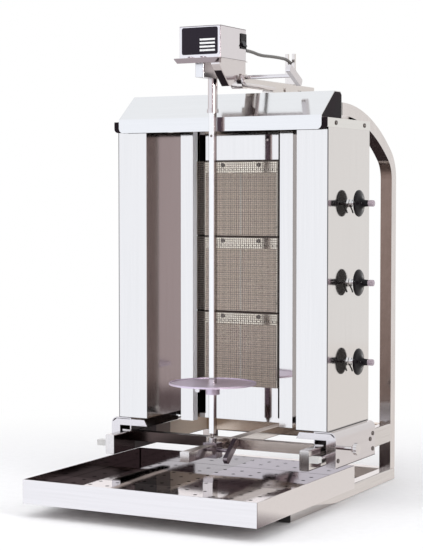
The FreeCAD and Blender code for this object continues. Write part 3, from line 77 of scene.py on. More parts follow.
# A noise's values lie mostly between these two.
noise_low = 0.3
noise_high = 0.7


def new_material(name):
    """An empty surface, with its nodes at hand."""
    made = bpy.data.materials.new(name)
    made.use_nodes = True
    tree = made.node_tree
    return made, tree.nodes, tree.links, tree.nodes["Principled BSDF"]


def grain(nodes, links, scale, stretch=(1, 1, 1), detail=3.0):
    """A noise in the grill's own coordinates, drawn out along the sheet."""
    place = nodes.new("ShaderNodeTexCoord")
    mapping = nodes.new("ShaderNodeMapping")
    mapping.inputs["Scale"].default_value = stretch
    noise = nodes.new("ShaderNodeTexNoise")
    noise.inputs["Scale"].default_value = scale
    noise.inputs["Detail"].default_value = detail
    links.new(place.outputs["Object"], mapping.inputs["Vector"])
    links.new(mapping.outputs["Vector"], noise.inputs["Vector"])
    return noise.outputs["Fac"]


def two_tone(nodes, links, factor, low, high, first=noise_low, last=noise_high):
    """A colour between two, by a factor."""
    ramp = nodes.new("ShaderNodeValToRGB")
    ramp.color_ramp.elements[0].position = first
    ramp.color_ramp.elements[1].position = last
    ramp.color_ramp.elements[0].color = (*low, 1)
    ramp.color_ramp.elements[1].color = (*high, 1)
    links.new(factor, ramp.inputs["Fac"])
    return ramp.outputs["Color"]


def spread(nodes, links, factor, low, high):
    """A number between two, by a noise."""
    span = nodes.new("ShaderNodeMapRange")
    span.inputs["From Min"].default_value = noise_low
    span.inputs["From Max"].default_value = noise_high
    span.inputs["To Min"].default_value = low
    span.inputs["To Max"].default_value = high
    links.new(factor, span.inputs["Value"])
    return span.outputs["Result"]


def relief(nodes, links, bsdf, factor, strength, depth):
    """Fine relief in the surface."""
    bump = nodes.new("ShaderNodeBump")
    bump.inputs["Strength"].default_value = strength
    bump.inputs["Distance"].default_value = depth
    links.new(factor, bump.inputs["Height"])
    links.new(bump.outputs["Normal"], bsdf.inputs["Normal"])


def rubber(name, colour, low=0.42, high=0.6):
    """Moulded rubber with a fine speckle."""
    made, nodes, links, bsdf = new_material(name)
    specks = grain(nodes, links, 900)
    dust = [c * 0.75 for c in colour]
    links.new(two_tone(nodes, links, specks, dust, colour), bsdf.inputs["Base Color"])
    links.new(spread(nodes, links, specks, low, high), bsdf.inputs["Roughness"])
    relief(nodes, links, bsdf, specks, 0.2, 0.0002)
    return made


cable_line.materials.append(rubber("grey_cable_rubber", (0.16, 0.15, 0.14)))
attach(motor_cable, "motor_arm")
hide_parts("cable")

# Paper floor and backdrop
# The grill stands on white paper in an open white room. The paper is lit like the grill, so it
# keeps the grill's shadow, and further out it fades into the pure white of the backdrop.
paper_size = 16
paper_gap = 0.0005
white_from = 0.55
white_beyond = 1.5
bpy.ops.object.select_all(action="DESELECT")
bpy.ops.mesh.primitive_plane_add(size=paper_size, location=(0, 0, -paper_gap))
floor = bpy.context.object
floor.name = "paper_floor"
paper, nodes, links, bsdf = new_material("white_paper")
fibres = grain(nodes, links, 60)
links.new(two_tone(nodes, links, fibres, (0.93, 0.93, 0.93), (0.96, 0.96, 0.96)),
          bsdf.inputs["Base Color"])
bsdf.inputs["Roughness"].default_value = 0.95
bsdf.inputs["Specular IOR Level"].default_value = 0.0
where = nodes.new("ShaderNodeTexCoord")
away = nodes.new("ShaderNodeVectorMath")
away.operation = "LENGTH"
links.new(where.outputs["Object"], away.inputs[0])
far = nodes.new("ShaderNodeMapRange")
far.interpolation_type = "SMOOTHSTEP"
far.inputs["From Min"].default_value = white_from
far.inputs["From Max"].default_value = white_beyond
links.new(away.outputs["Value"], far.inputs["Value"])
path = nodes.new("ShaderNodeLightPath")
bright = nodes.new("ShaderNodeMath")
bright.operation = "MULTIPLY"
links.new(far.outputs["Result"], bright.inputs[0])
links.new(path.outputs["Is Camera Ray"], bright.inputs[1])
white = nodes.new("ShaderNodeEmission")
white.inputs["Strength"].default_value = 1.0
fade = nodes.new("ShaderNodeMixShader")
links.new(bright.outputs["Value"], fade.inputs["Fac"])
links.new(bsdf.outputs["BSDF"], fade.inputs[1])
links.new(white.outputs["Emission"], fade.inputs[2])
links.new(fade.outputs["Shader"], nodes["Material Output"].inputs["Surface"])
floor.data.materials.append(paper)

world = bpy.data.worlds.new("studio")
bpy.context.scene.world = world
world.use_nodes = True
sky = world.node_tree.nodes
wires = world.node_tree.links
backdrop = sky["Background"]
backdrop.inputs["Color"].default_value = (1, 1, 1, 1)
backdrop.inputs["Strength"].default_value = 1.0
room = sky.new("ShaderNodeBackground")
room.inputs["Color"].default_value = (0.97, 0.97, 1.0, 1)
room.inputs["Strength"].default_value = 0.72
path = sky.new("ShaderNodeLightPath")
seen = sky.new("ShaderNodeMath")
seen.operation = "MAXIMUM"
clear = sky.new("ShaderNodeMath")
clear.operation = "MAXIMUM"
choice = sky.new("ShaderNodeMixShader")
wires.new(path.outputs["Is Camera Ray"], seen.inputs[0])
wires.new(path.outputs["Is Glossy Ray"], seen.inputs[1])
wires.new(seen.outputs["Value"], clear.inputs[0])
wires.new(path.outputs["Is Transmission Ray"], clear.inputs[1])
wires.new(clear.outputs["Value"], choice.inputs["Fac"])
wires.new(room.outputs["Background"], choice.inputs[1])
wires.new(backdrop.outputs["Background"], choice.inputs[2])
wires.new(choice.outputs["Shader"], sky["World Output"].inputs["Surface"])


# Studio cards and lamps
# Cards stand and lie round the grill for the polished steel to show: bright in front on the left
# and overhead, mauve in front on the right, dark close behind and below, and one small bright
# card for the highlights. Only gloss shows them, and the lamps stay out of the steel.
def card_paint(name, stops, level):
    """Paint of a card that glows softly, with its tone by bearing round the grill."""
    made = bpy.data.materials.new(name)
    made.use_nodes = True
    nodes = made.node_tree.nodes
    links = made.node_tree.links
    nodes.remove(nodes["Principled BSDF"])
    place = nodes.new("ShaderNodeTexCoord")
    axes = nodes.new("ShaderNodeSeparateXYZ")
    links.new(place.outputs["Object"], axes.inputs["Vector"])
    bearing = nodes.new("ShaderNodeMath")
    bearing.operation = "ARCTAN2"
    links.new(axes.outputs["Y"], bearing.inputs[0])
    links.new(axes.outputs["X"], bearing.inputs[1])
    share = nodes.new("ShaderNodeMapRange")
    share.inputs["From Min"].default_value = -math.pi
    share.inputs["From Max"].default_value = math.pi
    links.new(bearing.outputs["Value"], share.inputs["Value"])
    tones = nodes.new("ShaderNodeValToRGB")
    for position, _ in stops[1:-1]:
        tones.color_ramp.elements.new(position)
    for stop, (position, tone) in zip(tones.color_ramp.elements, stops):
        stop.position = position
        stop.color = (*tone, 1)
    links.new(share.outputs["Result"], tones.inputs["Fac"])
    glow = nodes.new("ShaderNodeEmission")
    glow.inputs["Strength"].default_value = level
    links.new(tones.outputs["Color"], glow.inputs["Color"])
    links.new(glow.outputs["Emission"], nodes["Material Output"].inputs["Surface"])
    return made


def even(tone):
    """The stops of a card that has one tone all round."""
    return [(0.00, tone), (0.5, tone), (1.00, tone)]


def set_card(card, name, paint):
    """A card of the studio, which only the gloss of the steel shows."""
    card.name = name
    card.data.materials.append(paint)
    card.visible_camera = False
    card.visible_diffuse = False
    card.visible_shadow = False
    card.visible_transmission = False
    card.visible_volume_scatter = False


round_sides = 96
studio_radius = 3.7
studio_height = 2.4
ring_height = 0.001
card_level = 1.6
shade_place = (-0.04, 0.68, 0.002)
shade_size = (0.48, 1.56, 1)
low_rear_place = (-0.36, 0.516, 0.141)
low_rear_size = (0.68, 1, 0.038)
highlight_place = (2.3, -1.5, 1.0)
highlight_turn = (math.radians(83), 0, math.radians(57))
highlight_size = 0.35
highlight_level = 70
bluish = (0.76, 0.80, 0.86)
bright = (0.85, 0.90, 0.97)
mauve = (0.48, 0.42, 0.45)
wall_grey = (0.66, 0.66, 0.66)
wall_left = (0.66, 0.66, 0.68)
wall_rear = (0.72, 0.70, 0.71)
floor_left = (0.60, 0.60, 0.62)
floor_dark = (0.12, 0.09, 0.10)
floor_rear = (0.45, 0.40, 0.38)
bpy.ops.mesh.primitive_cylinder_add(
    vertices=round_sides, radius=studio_radius, depth=studio_height, end_fill_type="NOTHING",
    location=(0, 0, studio_height / 2))
bpy.ops.object.transform_apply(location=True)
set_card(bpy.context.object, "wall_cards", card_paint("wall_card_paint", [
    (0.00, wall_left), (0.07, bluish), (0.11, bright), (0.255, bright),
    (0.285, (0.50, 0.44, 0.47)), (0.44, mauve), (0.52, (0.60, 0.58, 0.58)),
    (0.60, wall_grey), (0.76, wall_grey), (0.80, wall_rear), (0.90, wall_rear),
    (1.00, wall_left),
], card_level))
for ring, inner, outer, turn, shade in (
        ("near_floor_cards", 0.3, 0.75, 0.38, floor_dark),
        ("middle_floor_cards", 0.75, 1.4, 0.31, floor_dark),
        ("far_floor_cards", 1.4, studio_radius, 0.31, mauve)):
    wider = outer / inner
    bpy.ops.mesh.primitive_circle_add(
        vertices=round_sides, radius=inner, location=(0, 0, ring_height))
    bpy.ops.object.transform_apply(location=True)
    bpy.ops.object.mode_set(mode="EDIT")
    bpy.ops.mesh.extrude_region_move()
    bpy.ops.transform.resize(value=(wider, wider, 1), center_override=(0, 0, ring_height))
    bpy.ops.object.mode_set(mode="OBJECT")
    set_card(bpy.context.object, ring, card_paint(ring + "_paint", [
        (0.00, floor_left), (0.08, bluish), (0.11, bright), (turn - 0.025, bright),
        (turn, shade), (0.44, shade), (0.50, (0.40, 0.38, 0.38)),
        (0.53, (0.66, 0.64, 0.63)), (0.76, (0.63, 0.62, 0.61)),
        (0.80, floor_rear), (0.92, floor_rear), (1.00, floor_left),
    ], card_level))
bpy.ops.mesh.primitive_plane_add(size=1, location=shade_place)
bpy.ops.transform.resize(value=shade_size)
bpy.ops.object.transform_apply(location=True, scale=True)
set_card(bpy.context.object, "shade_card",
         card_paint("shade_card_paint", even((0.022, 0.015, 0.016)), card_level))
bpy.ops.mesh.primitive_plane_add(
    size=1, location=low_rear_place, rotation=(math.radians(90), 0, 0))
bpy.ops.transform.resize(value=low_rear_size)
bpy.ops.object.transform_apply(location=True, rotation=True, scale=True)
set_card(bpy.context.object, "low_rear_card",
         card_paint("low_rear_card_paint", even((0.035, 0.024, 0.026)), card_level))
bpy.ops.mesh.primitive_circle_add(
    vertices=round_sides, radius=studio_radius, fill_type="NGON", location=(0, 0, studio_height))
bpy.ops.object.transform_apply(location=True)
set_card(bpy.context.object, "ceiling_card",
         card_paint("ceiling_card_paint", even((0.79, 0.83, 0.87)), card_level))
bpy.ops.mesh.primitive_plane_add(
    size=highlight_size, location=highlight_place, rotation=highlight_turn)
bpy.ops.object.transform_apply(location=True, rotation=True)
set_card(bpy.context.object, "highlight_card",
         card_paint("highlight_card_paint", even((1.0, 1.0, 1.0)), highlight_level))


def soft_box(name, place, target, size, power):
    """A large lamp that gives soft light and stays out of the steel."""
    light = bpy.data.lights.new(name, "AREA")
    light.shape = "RECTANGLE"
    light.size, light.size_y = size
    light.energy = power
    lamp = bpy.data.objects.new(name, light)
    bpy.context.scene.collection.objects.link(lamp)
    lamp.location = place
    lamp.rotation_euler = (Vector(target) - Vector(place)).to_track_quat("-Z", "Y").to_euler()
    lamp.visible_glossy = False


soft_box("left_box", (-2.2, -2.0, 1.8), (0, 0.1, 0.4), (1.4, 1.8), 26)
soft_box("right_box", (2.6, -0.6, 2.0), (0, 0.2, 0.4), (1.2, 1.6), 20)
soft_box("top_box", (0.0, -0.4, 2.9), (0, 0.15, 0.4), (2.0, 2.0), 20)


# Base frame
# Square stainless tube, bent for the two uprights and welded at the joints, lightly polished.
# The runners lie on the table, and flat tubes and a folded channel carry the cabinet.
def finish(names, material):
    """Gives carried-over solids their surface."""
    for name in names:
        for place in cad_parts[name].material_slots:
            place.material = material


def stainless(name, colour, gloss, stretch, streak=0.05, wave=0.0):
    """Stainless steel: grain drawn out along the sheet, and wipe marks that dull its gloss."""
    made, nodes, links, bsdf = new_material(name)
    bsdf.inputs["Metallic"].default_value = 1.0
    lines = grain(nodes, links, 1.0, stretch, 4.0)
    marks = grain(nodes, links, 7.0, detail=4.0)
    dull = [c * (1 - streak) for c in colour]
    links.new(two_tone(nodes, links, lines, dull, colour), bsdf.inputs["Base Color"])
    links.new(spread(nodes, links, marks, gloss * 0.8, gloss * 1.3), bsdf.inputs["Roughness"])
    if wave:
        relief(nodes, links, bsdf, lines, wave, 0.0002)
    return made


def inside(nodes, links, low, high, mirrored):
    """A mask that is 1 between two corners and, where mirrored, between their mirror images too."""
    place = nodes.new("ShaderNodeTexCoord")
    axes = nodes.new("ShaderNodeSeparateXYZ")
    links.new(place.outputs["Object"], axes.inputs["Vector"])
    side = nodes.new("ShaderNodeMath")
    side.operation = "ABSOLUTE" if mirrored else "ADD"
    side.inputs[1].default_value = 0.0
    links.new(axes.outputs["X"], side.inputs[0])
    mask = None
    reaches = (side.outputs["Value"], axes.outputs["Y"], axes.outputs["Z"])
    for reach, start, end in zip(reaches, low, high):
        within = nodes.new("ShaderNodeMath")
        within.operation = "COMPARE"
        within.inputs[1].default_value = (start + end) / 2
        within.inputs[2].default_value = (end - start) / 2
        links.new(reach, within.inputs[0])
        if mask is None:
            mask = within.outputs["Value"]
            continue
        both = nodes.new("ShaderNodeMath")
        both.operation = "MULTIPLY"
        links.new(mask, both.inputs[0])
        links.new(within.outputs["Value"], both.inputs[1])
        mask = both.outputs["Value"]
    return mask


def tint_and_shade_patch(made, low, high, colour, dull=None, metal=None, mirrored=True):
    """A patch of own colour or painted light and shade, with its roughness and metal if given."""
    nodes = made.node_tree.nodes
    links = made.node_tree.links
    bsdf = nodes["Principled BSDF"]
    mask = inside(nodes, links, low, high, mirrored)
    before = bsdf.inputs["Base Color"].links[0].from_socket
    mixed = nodes.new("ShaderNodeMix")
    mixed.data_type = "RGBA"
    mixed.inputs["B"].default_value = (*colour, 1)
    links.new(mask, mixed.inputs["Factor"])
    links.new(before, mixed.inputs["A"])
    links.new(mixed.outputs["Result"], bsdf.inputs["Base Color"])
    if dull is not None:
        rough = bsdf.inputs["Roughness"].links[0].from_socket
        duller = nodes.new("ShaderNodeMix")
        duller.inputs["B"].default_value = dull
        links.new(mask, duller.inputs["Factor"])
        links.new(rough, duller.inputs["A"])
        links.new(duller.outputs["Result"], bsdf.inputs["Roughness"])
    if metal is not None:
        share = nodes.new("ShaderNodeMix")
        share.inputs["A"].default_value = bsdf.inputs["Metallic"].default_value
        share.inputs["B"].default_value = metal
        links.new(mask, share.inputs["Factor"])
        links.new(share.outputs["Result"], bsdf.inputs["Metallic"])


# The grain's scale along X, Y and Z: its lines run the way of the small number.
tube_along_x = (8, 500, 500)
tube_along_y = (500, 8, 500)
tube_tone = (0.60, 0.56, 0.54)
rail_inner_x = 0.2063
tube_y = stainless("frame_tube_along_y", tube_tone, 0.13, tube_along_y, 0.10, 0.04)
tube_x = stainless("frame_tube_along_x", (0.58, 0.53, 0.50), 0.13, tube_along_x, 0.10, 0.04)
tube_bent = stainless("frame_tube_bent", (0.62, 0.57, 0.55), 0.14, (500, 60, 20), 0.08, 0.03)
# The rails' inner walls are painted beige at the rear, brown in the middle and black in front:
# painted reflections, dark where they mirror the shade under the cabinet.
rail_painted_shade_y = stainless("rail_tube_painted_shade_y", tube_tone, 0.13, tube_along_y, 0.10, 0.04)
tint_and_shade_patch(rail_painted_shade_y, (0.0, 0.15, 0.02), (rail_inner_x, 0.48, 0.2), (0.62, 0.50, 0.40), 0.5, 0.0)
tint_and_shade_patch(rail_painted_shade_y, (0.0, 0.15, 0.02), (rail_inner_x, 0.30, 0.2), (0.20, 0.15, 0.13))
tint_and_shade_patch(rail_painted_shade_y, (0.0, 0.0, 0.02), (rail_inner_x, 0.24, 0.2), (0.050, 0.032, 0.034))
# The centre bar's top is painted a duller brown, a painted reflection.
tint_and_shade_patch(tube_y, (0.0, 0.0, 0.1143), (0.0098, 0.47, 0.1155), (0.38, 0.31, 0.27), 0.35)
finish(["runners", "centre_bar"], tube_y)
finish(["rails"], rail_painted_shade_y)
# The front wall of the rear cross tube is painted pale and matte, a painted reflection.
tint_and_shade_patch(tube_x, (-0.3, 0.4850, 0.0), (0.3, 0.4866, 0.026), (0.62, 0.54, 0.50), 0.5, 0.0,
      mirrored=False)
finish(["cross_tubes", "arch_cross_tube"], tube_x)
warm_x = stainless("warm_tube_along_x", (0.66, 0.56, 0.47), 0.2, tube_along_x, 0.12, 0.04)
finish(["rear_member"], warm_x)
# The channel's left half is painted dark, a painted reflection of shade.
channel_x = stainless("channel_sheet_along_x", (0.62, 0.53, 0.47), 0.2, tube_along_x, 0.12, 0.04)
tint_and_shade_patch(channel_x, (-0.21, 0.1, 0.09), (-0.03, 0.16, 0.13), (0.07, 0.05, 0.046), mirrored=False)
finish(["front_channel"], channel_x)
finish(["arches"], tube_bent)

# Tube plugs
# Black plastic plugs close the front ends of the runners.
finish(["tube_plugs"], rubber("black_tube_plug", (0.02, 0.018, 0.018)))

# Cabinet walls
# Columns, wings and the sheet behind the spit are folded from mirror-polished stainless sheet.
sheet_upright = (260, 260, 5)
sheet_tone = (0.63, 0.60, 0.58)
mirror_z = stainless("mirror_sheet_upright", sheet_tone, 0.045, sheet_upright, 0.03, 0.006)
finish(["back_panel"], mirror_z)
# The columns are painted dark at the foot and down the front corner: painted shade in the gaps.
column = stainless("column_sheet", sheet_tone, 0.10, sheet_upright, 0.03, 0.006)
tint_and_shade_patch(column, (0.0, 0.1, 0.1490), (0.3, 0.4, 0.1508), (0.03, 0.025, 0.025))
tint_and_shade_patch(column, (0.2324, 0.13, 0.1), (0.236, 0.1372, 0.8), (0.10, 0.09, 0.09))
finish(["side_panel_right", "side_panel_left"], column)
# The wings' returns beside the burners are painted matte and near white, a painted reflection.
wing = stainless("wing_sheet", sheet_tone, 0.06, sheet_upright, 0.03, 0.006)
tint_and_shade_patch(wing, (0.0975, 0.2062, 0.1), (0.1002, 0.24, 0.8), (0.97, 0.98, 1.0), 0.6, 0.0)
finish(["wings"], wing)

# Rear cover and floor plates
# Galvanised sheet, duller than the rest, with the pale flakes of its zinc, and two floor plates
# under the cabinet painted dark as painted shade, with a brighter top that is painted light.
zinc, nodes, links, bsdf = new_material("galvanised_sheet")
bsdf.inputs["Metallic"].default_value = 1.0
flakes = nodes.new("ShaderNodeTexVoronoi")
flakes.inputs["Scale"].default_value = 90
where = nodes.new("ShaderNodeTexCoord")
links.new(where.outputs["Object"], flakes.inputs["Vector"])
flake = flakes.outputs["Distance"]
links.new(two_tone(nodes, links, flake, (0.36, 0.29, 0.26), (0.44, 0.36, 0.33)),
          bsdf.inputs["Base Color"])
links.new(spread(nodes, links, flake, 0.32, 0.45), bsdf.inputs["Roughness"])
finish(["rear_cover"], zinc)
floor_sheet = stainless("floor_sheet_painted_shade", (0.14, 0.11, 0.11), 0.3, (60, 60, 60), 0.3)
tint_and_shade_patch(floor_sheet, (0.0, 0.1, 0.1504), (0.24, 0.4, 0.1515), (0.60, 0.52, 0.46), 0.12)
finish(["floor_plates"], floor_sheet)


# Heat shields
# Sheet behind the air slots beside the burners, painted black as painted shade in the slots. The
# right one is painted paler, a painted light, as the light from the front reaches it.
def coated(name, scale, dark, light, smooth, rough, specular=0.5, metallic=0.0):
    """A surface whose colour and roughness both follow one noise."""
    made, nodes, links, bsdf = new_material(name)
    specks = grain(nodes, links, scale)
    links.new(two_tone(nodes, links, specks, dark, light), bsdf.inputs["Base Color"])
    links.new(spread(nodes, links, specks, smooth, rough), bsdf.inputs["Roughness"])
    bsdf.inputs["Specular IOR Level"].default_value = specular
    bsdf.inputs["Metallic"].default_value = metallic
    return made


slot_shade_sheet = coated("slot_black_painted_shade", 160, (0.002, 0.002, 0.002), (0.006, 0.005, 0.005), 0.55, 0.75,
                specular=0.15)
tint_and_shade_patch(slot_shade_sheet, (0.08, 0.2, 0.1), (0.105, 0.3, 0.8), (0.45, 0.45, 0.47), mirrored=False)
finish(["heat_shields"], slot_shade_sheet)

# Roof and hood
# A roof pan and a folded hood of mirror-polished sheet, held by a strap on each side.
sheet_along_x = (5, 260, 260)
sheet_along_y = (260, 5, 260)
mirror_x = stainless("mirror_sheet_across", (0.64, 0.62, 0.61), 0.11, sheet_along_x, 0.03, 0.006)
mirror_y = stainless("mirror_sheet_along", (0.66, 0.64, 0.61), 0.07, sheet_along_y, 0.03, 0.008)
finish(["hood"], mirror_x)
finish(["roof_pan", "straps"], mirror_y)

# End caps of the hood
# Plates that close the hood's ends, almost black, with cloudy brown tints.
finish(["end_caps"], coated(
    "almost_black_hood_cap", 22, (0.006, 0.003, 0.005), (0.018, 0.011, 0.014), 0.4, 0.55, specular=0.05))


# Burner casings and tiles
# Pressed casings with two ceramic tiles each, and a strip of pale cement between the two. The
# tiles have hundreds of fine gas holes in rows.
def soften(offset):
    """Bevels every edge of the active piece."""
    bpy.ops.object.mode_set(mode="EDIT")
    bpy.ops.mesh.select_all(action="SELECT")
    bpy.ops.mesh.bevel(offset=offset, segments=2)
    bpy.ops.object.mode_set(mode="OBJECT")


cast_grain = (200, 200, 200)
finish(["burner_bodies"],
       stainless("burner_casing_steel", (0.06, 0.045, 0.04), 0.5, cast_grain, 0.1))
holes_per_metre = 380
ceramic, nodes, links, bsdf = new_material("burner_ceramic")
where = nodes.new("ShaderNodeTexCoord")
pitch = nodes.new("ShaderNodeMapping")
pitch.inputs["Scale"].default_value = (holes_per_metre, 0, holes_per_metre)
rows = nodes.new("ShaderNodeTexVoronoi")
rows.inputs["Scale"].default_value = 1.0
rows.inputs["Randomness"].default_value = 0.0
links.new(where.outputs["Object"], pitch.inputs["Vector"])
links.new(pitch.outputs["Vector"], rows.inputs["Vector"])
holes = two_tone(nodes, links, rows.outputs["Distance"],
                 (0.20, 0.155, 0.12), (1.0, 0.87, 0.76), 0.16, 0.36)
patches = two_tone(nodes, links, grain(nodes, links, 620, detail=1.0),
                   (0.70, 0.66, 0.64), (1, 1, 1), 0.36, 0.60)
fired = nodes.new("ShaderNodeMix")
fired.data_type = "RGBA"
fired.blend_type = "MULTIPLY"
fired.inputs["Factor"].default_value = 1.0
links.new(holes, fired.inputs["A"])
links.new(patches, fired.inputs["B"])
links.new(fired.outputs["Result"], bsdf.inputs["Base Color"])
links.new(spread(nodes, links, grain(nodes, links, 300), 0.8, 0.95), bsdf.inputs["Roughness"])
relief(nodes, links, bsdf, rows.outputs["Distance"], 0.6, 0.0006)
finish(["burner_tiles"], ceramic)
cement, nodes, links, bsdf = new_material("tile_cement")
links.new(two_tone(nodes, links, grain(nodes, links, 400), (0.90, 0.86, 0.80), (1.0, 0.97, 0.92)),
          bsdf.inputs["Base Color"])
links.new(spread(nodes, links, grain(nodes, links, 300), 0.8, 0.95), bsdf.inputs["Roughness"])
burner_count = 3
burner_pitch = 0.154
tile_bottom = 0.2170
joint_y = 0.2272
joint_centre = 0.0635
joint_size = (0.0032, 0.0012, 0.1240)
joint_bevel = 0.0004
for panel in range(burner_count):
    tile_low = tile_bottom + burner_pitch * panel
    bpy.ops.object.select_all(action="DESELECT")
    bpy.ops.mesh.primitive_cube_add(size=1, location=(0, joint_y, tile_low + joint_centre))
    joint = bpy.context.object
    bpy.ops.transform.resize(value=joint_size)
    bpy.ops.object.transform_apply(location=True, scale=True)
    soften(joint_bevel)
    joint.name = "tile_joint_%d" % (panel + 1)
    joint.data.materials.append(cement)
    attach(joint, "frame_and_cabinet")

# Burner headers
# Satin cream strips of stamped sheet above the tiles, warmed by the flames.
finish(["burner_headers"], coated(
    "header_satin_cream", 40, (0.58, 0.51, 0.43), (0.66, 0.59, 0.50), 0.10, 0.18, metallic=1.0))

# Gas line
# A plated manifold, brass valves and thin feed pipes behind the right column.
finish(["gas_pipes"], stainless("gas_pipe_steel", (0.5, 0.5, 0.5), 0.35, (200, 200, 20), 0.1))
finish(["gas_valves"], stainless("valve_brass", (0.70, 0.52, 0.25), 0.3, (100, 100, 100), 0.1))
chrome = stainless("spindle_chrome", (0.85, 0.84, 0.84), 0.12, (10, 400, 400), 0.05)
finish(["spindle_1", "spindle_2", "spindle_3"], chrome)


# Burner guard
# Woven wire mesh in three panels, one before each burner, with crimped wires over and under each
# other, a rod down each side, and small hooks behind it on the headers' side strips.
def repeat(piece, count, step, merged=False):
    """Repeats a piece in a row, and where merged, joins each copy's end to the next one's."""
    row = piece.modifiers.new("row", "ARRAY")
    row.count = count
    row.use_relative_offset = False
    row.use_constant_offset = True
    row.constant_offset_displace = step
    row.use_merge_vertices = merged
    row.merge_threshold = 0.00005
    bpy.ops.object.modifier_apply(modifier="row")


def weave(place, turn, bends, run, run_count, beside, beside_count):
    """Crimped wires side by side, with every other one bent the other way."""
    bpy.ops.object.select_all(action="DESELECT")
    bpy.ops.mesh.primitive_circle_add(
        vertices=6, radius=wire_radius, location=place, rotation=turn)
    wires = bpy.context.object
    bpy.ops.object.transform_apply(location=True, rotation=True)
    bpy.ops.object.mode_set(mode="EDIT")
    for bend in bends:
        bpy.ops.mesh.extrude_region_move(TRANSFORM_OT_translate={"value": bend})
    bpy.ops.mesh.select_all(action="SELECT")
    bpy.ops.object.mode_set(mode="OBJECT")
    repeat(wires, run_count, [2 * way for way in run], merged=True)
    bpy.ops.object.mode_set(mode="EDIT")
    bpy.ops.mesh.select_all(action="SELECT")
    bpy.ops.mesh.duplicate_move(TRANSFORM_OT_translate={"value": beside})
    bpy.ops.transform.resize(value=(1, -1, 1), center_override=(0, mesh_y, 0))
    bpy.ops.object.mode_set(mode="OBJECT")
    repeat(wires, beside_count, [2 * way for way in beside])
    return wires


mesh_wire = stainless("guard_wire", (0.27, 0.23, 0.20), 0.28, (90, 90, 90), 0.2)
wire_radius = 0.00042
wire_pitch = 0.00445
half_pitch = wire_pitch / 2
columns = 22
rows_of_mesh = 17
mesh_left = -columns * wire_pitch
mesh_height = 2 * rows_of_mesh * wire_pitch
mesh_bottom = 0.2172
mesh_y = 0.2225
rod_radius = 0.0008
hook_length = 0.005
hook_out = 0.0818
hook_inset = 4 * wire_pitch
step_right = (wire_pitch, 0, 0)
step_up = (0, 0, wire_pitch)
for panel in range(burner_count):
    mesh_low = mesh_bottom + panel * burner_pitch
    mesh_high = mesh_low + mesh_height
    lying = weave(
        (mesh_left, mesh_y, mesh_low + half_pitch), (0, math.pi / 2, 0),
        [(half_pitch, lean * wire_radius, 0) for lean in (1, -1, -1, 1)],
        step_right, columns, step_up, rows_of_mesh)
    standing = weave(
        (mesh_left + half_pitch, mesh_y, mesh_low), (0, 0, 0),
        [(0, lean * wire_radius, half_pitch) for lean in (-1, 1, 1, -1)],
        step_up, rows_of_mesh, step_right, columns)

    rods = []
    for edge_x in (mesh_left, -mesh_left):
        bpy.ops.mesh.primitive_cylinder_add(
            vertices=10, radius=rod_radius, depth=mesh_height,
            location=(edge_x, mesh_y, (mesh_low + mesh_high) / 2))
        rods.append(bpy.context.object)
    for hook_x in (-hook_out, hook_out):
        for hook_z in (mesh_low + hook_inset, mesh_high - hook_inset):
            bpy.ops.mesh.primitive_cylinder_add(
                vertices=10, radius=rod_radius, depth=hook_length,
                location=(hook_x, mesh_y + hook_length / 2, hook_z), rotation=(math.pi / 2, 0, 0))
            rods.append(bpy.context.object)
    bpy.ops.object.select_all(action="DESELECT")
    for part in [standing] + rods:
        part.select_set(True)
    lying.select_set(True)
    bpy.context.view_layer.objects.active = lying
    bpy.ops.object.join()
    bpy.ops.object.mode_set(mode="EDIT")
    bpy.ops.mesh.select_all(action="SELECT")
    bpy.ops.mesh.fill_holes(sides=6)
    bpy.ops.mesh.select_all(action="SELECT")
    bpy.ops.mesh.normals_make_consistent(inside=False)
    bpy.ops.object.mode_set(mode="OBJECT")
    bpy.ops.object.shade_smooth_by_angle(angle=math.radians(70))
    lying.name = "guard_mesh_%d" % (panel + 1)
    lying.data.materials.append(mesh_wire)
    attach(lying, "frame_and_cabinet")
    if panel == 1:
        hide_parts("burner_guard")


# Control knobs
# Glossy black moulded knobs, a wide domed skirt that runs into a slim grip with a grey cap on its
# tip, each pushed on the flat of its valve's spindle. Behind each, a hexagon nut holds the valve
# in the column, with a black tab that points at the knob's scale.
def select_faces(piece, side):
    """Selects only the faces that look to one side, and leaves the piece in edit mode."""
    bpy.ops.object.mode_set(mode="EDIT")
    bpy.ops.mesh.select_all(action="DESELECT")
    bpy.ops.object.mode_set(mode="OBJECT")
    for face in piece.data.polygons:
        face.select = face.normal.dot(side) > 0.9
    bpy.ops.object.mode_set(mode="EDIT")


knob_black = coated(
    "knob_black", 500, (0.004, 0.003, 0.004), (0.009, 0.007, 0.009), 0.05, 0.12, specular=0.12)
# The grey cap on the tip.
knob_tip_x = 0.2735
tint_and_shade_patch(knob_black, (knob_tip_x, 0.2, 0.2), (0.29, 0.3, 0.7), (0.42, 0.35, 0.39), 0.4)
knob_heights = (0.2776, 0.4341, 0.5906)
spindle_y = 0.2445
skirt_radius = 0.0262
skirt_back_x = 0.2514
skirt_back = 0.0008
nut_x = 0.23695
nut_radius = 0.0092
nut_thick = 0.0055
nut_bevel = 0.0006
tab_x = 0.2402
tab_y = 0.2300
tab_drop = 0.0040
tab_size = (0.0014, 0.0044, 0.0020)
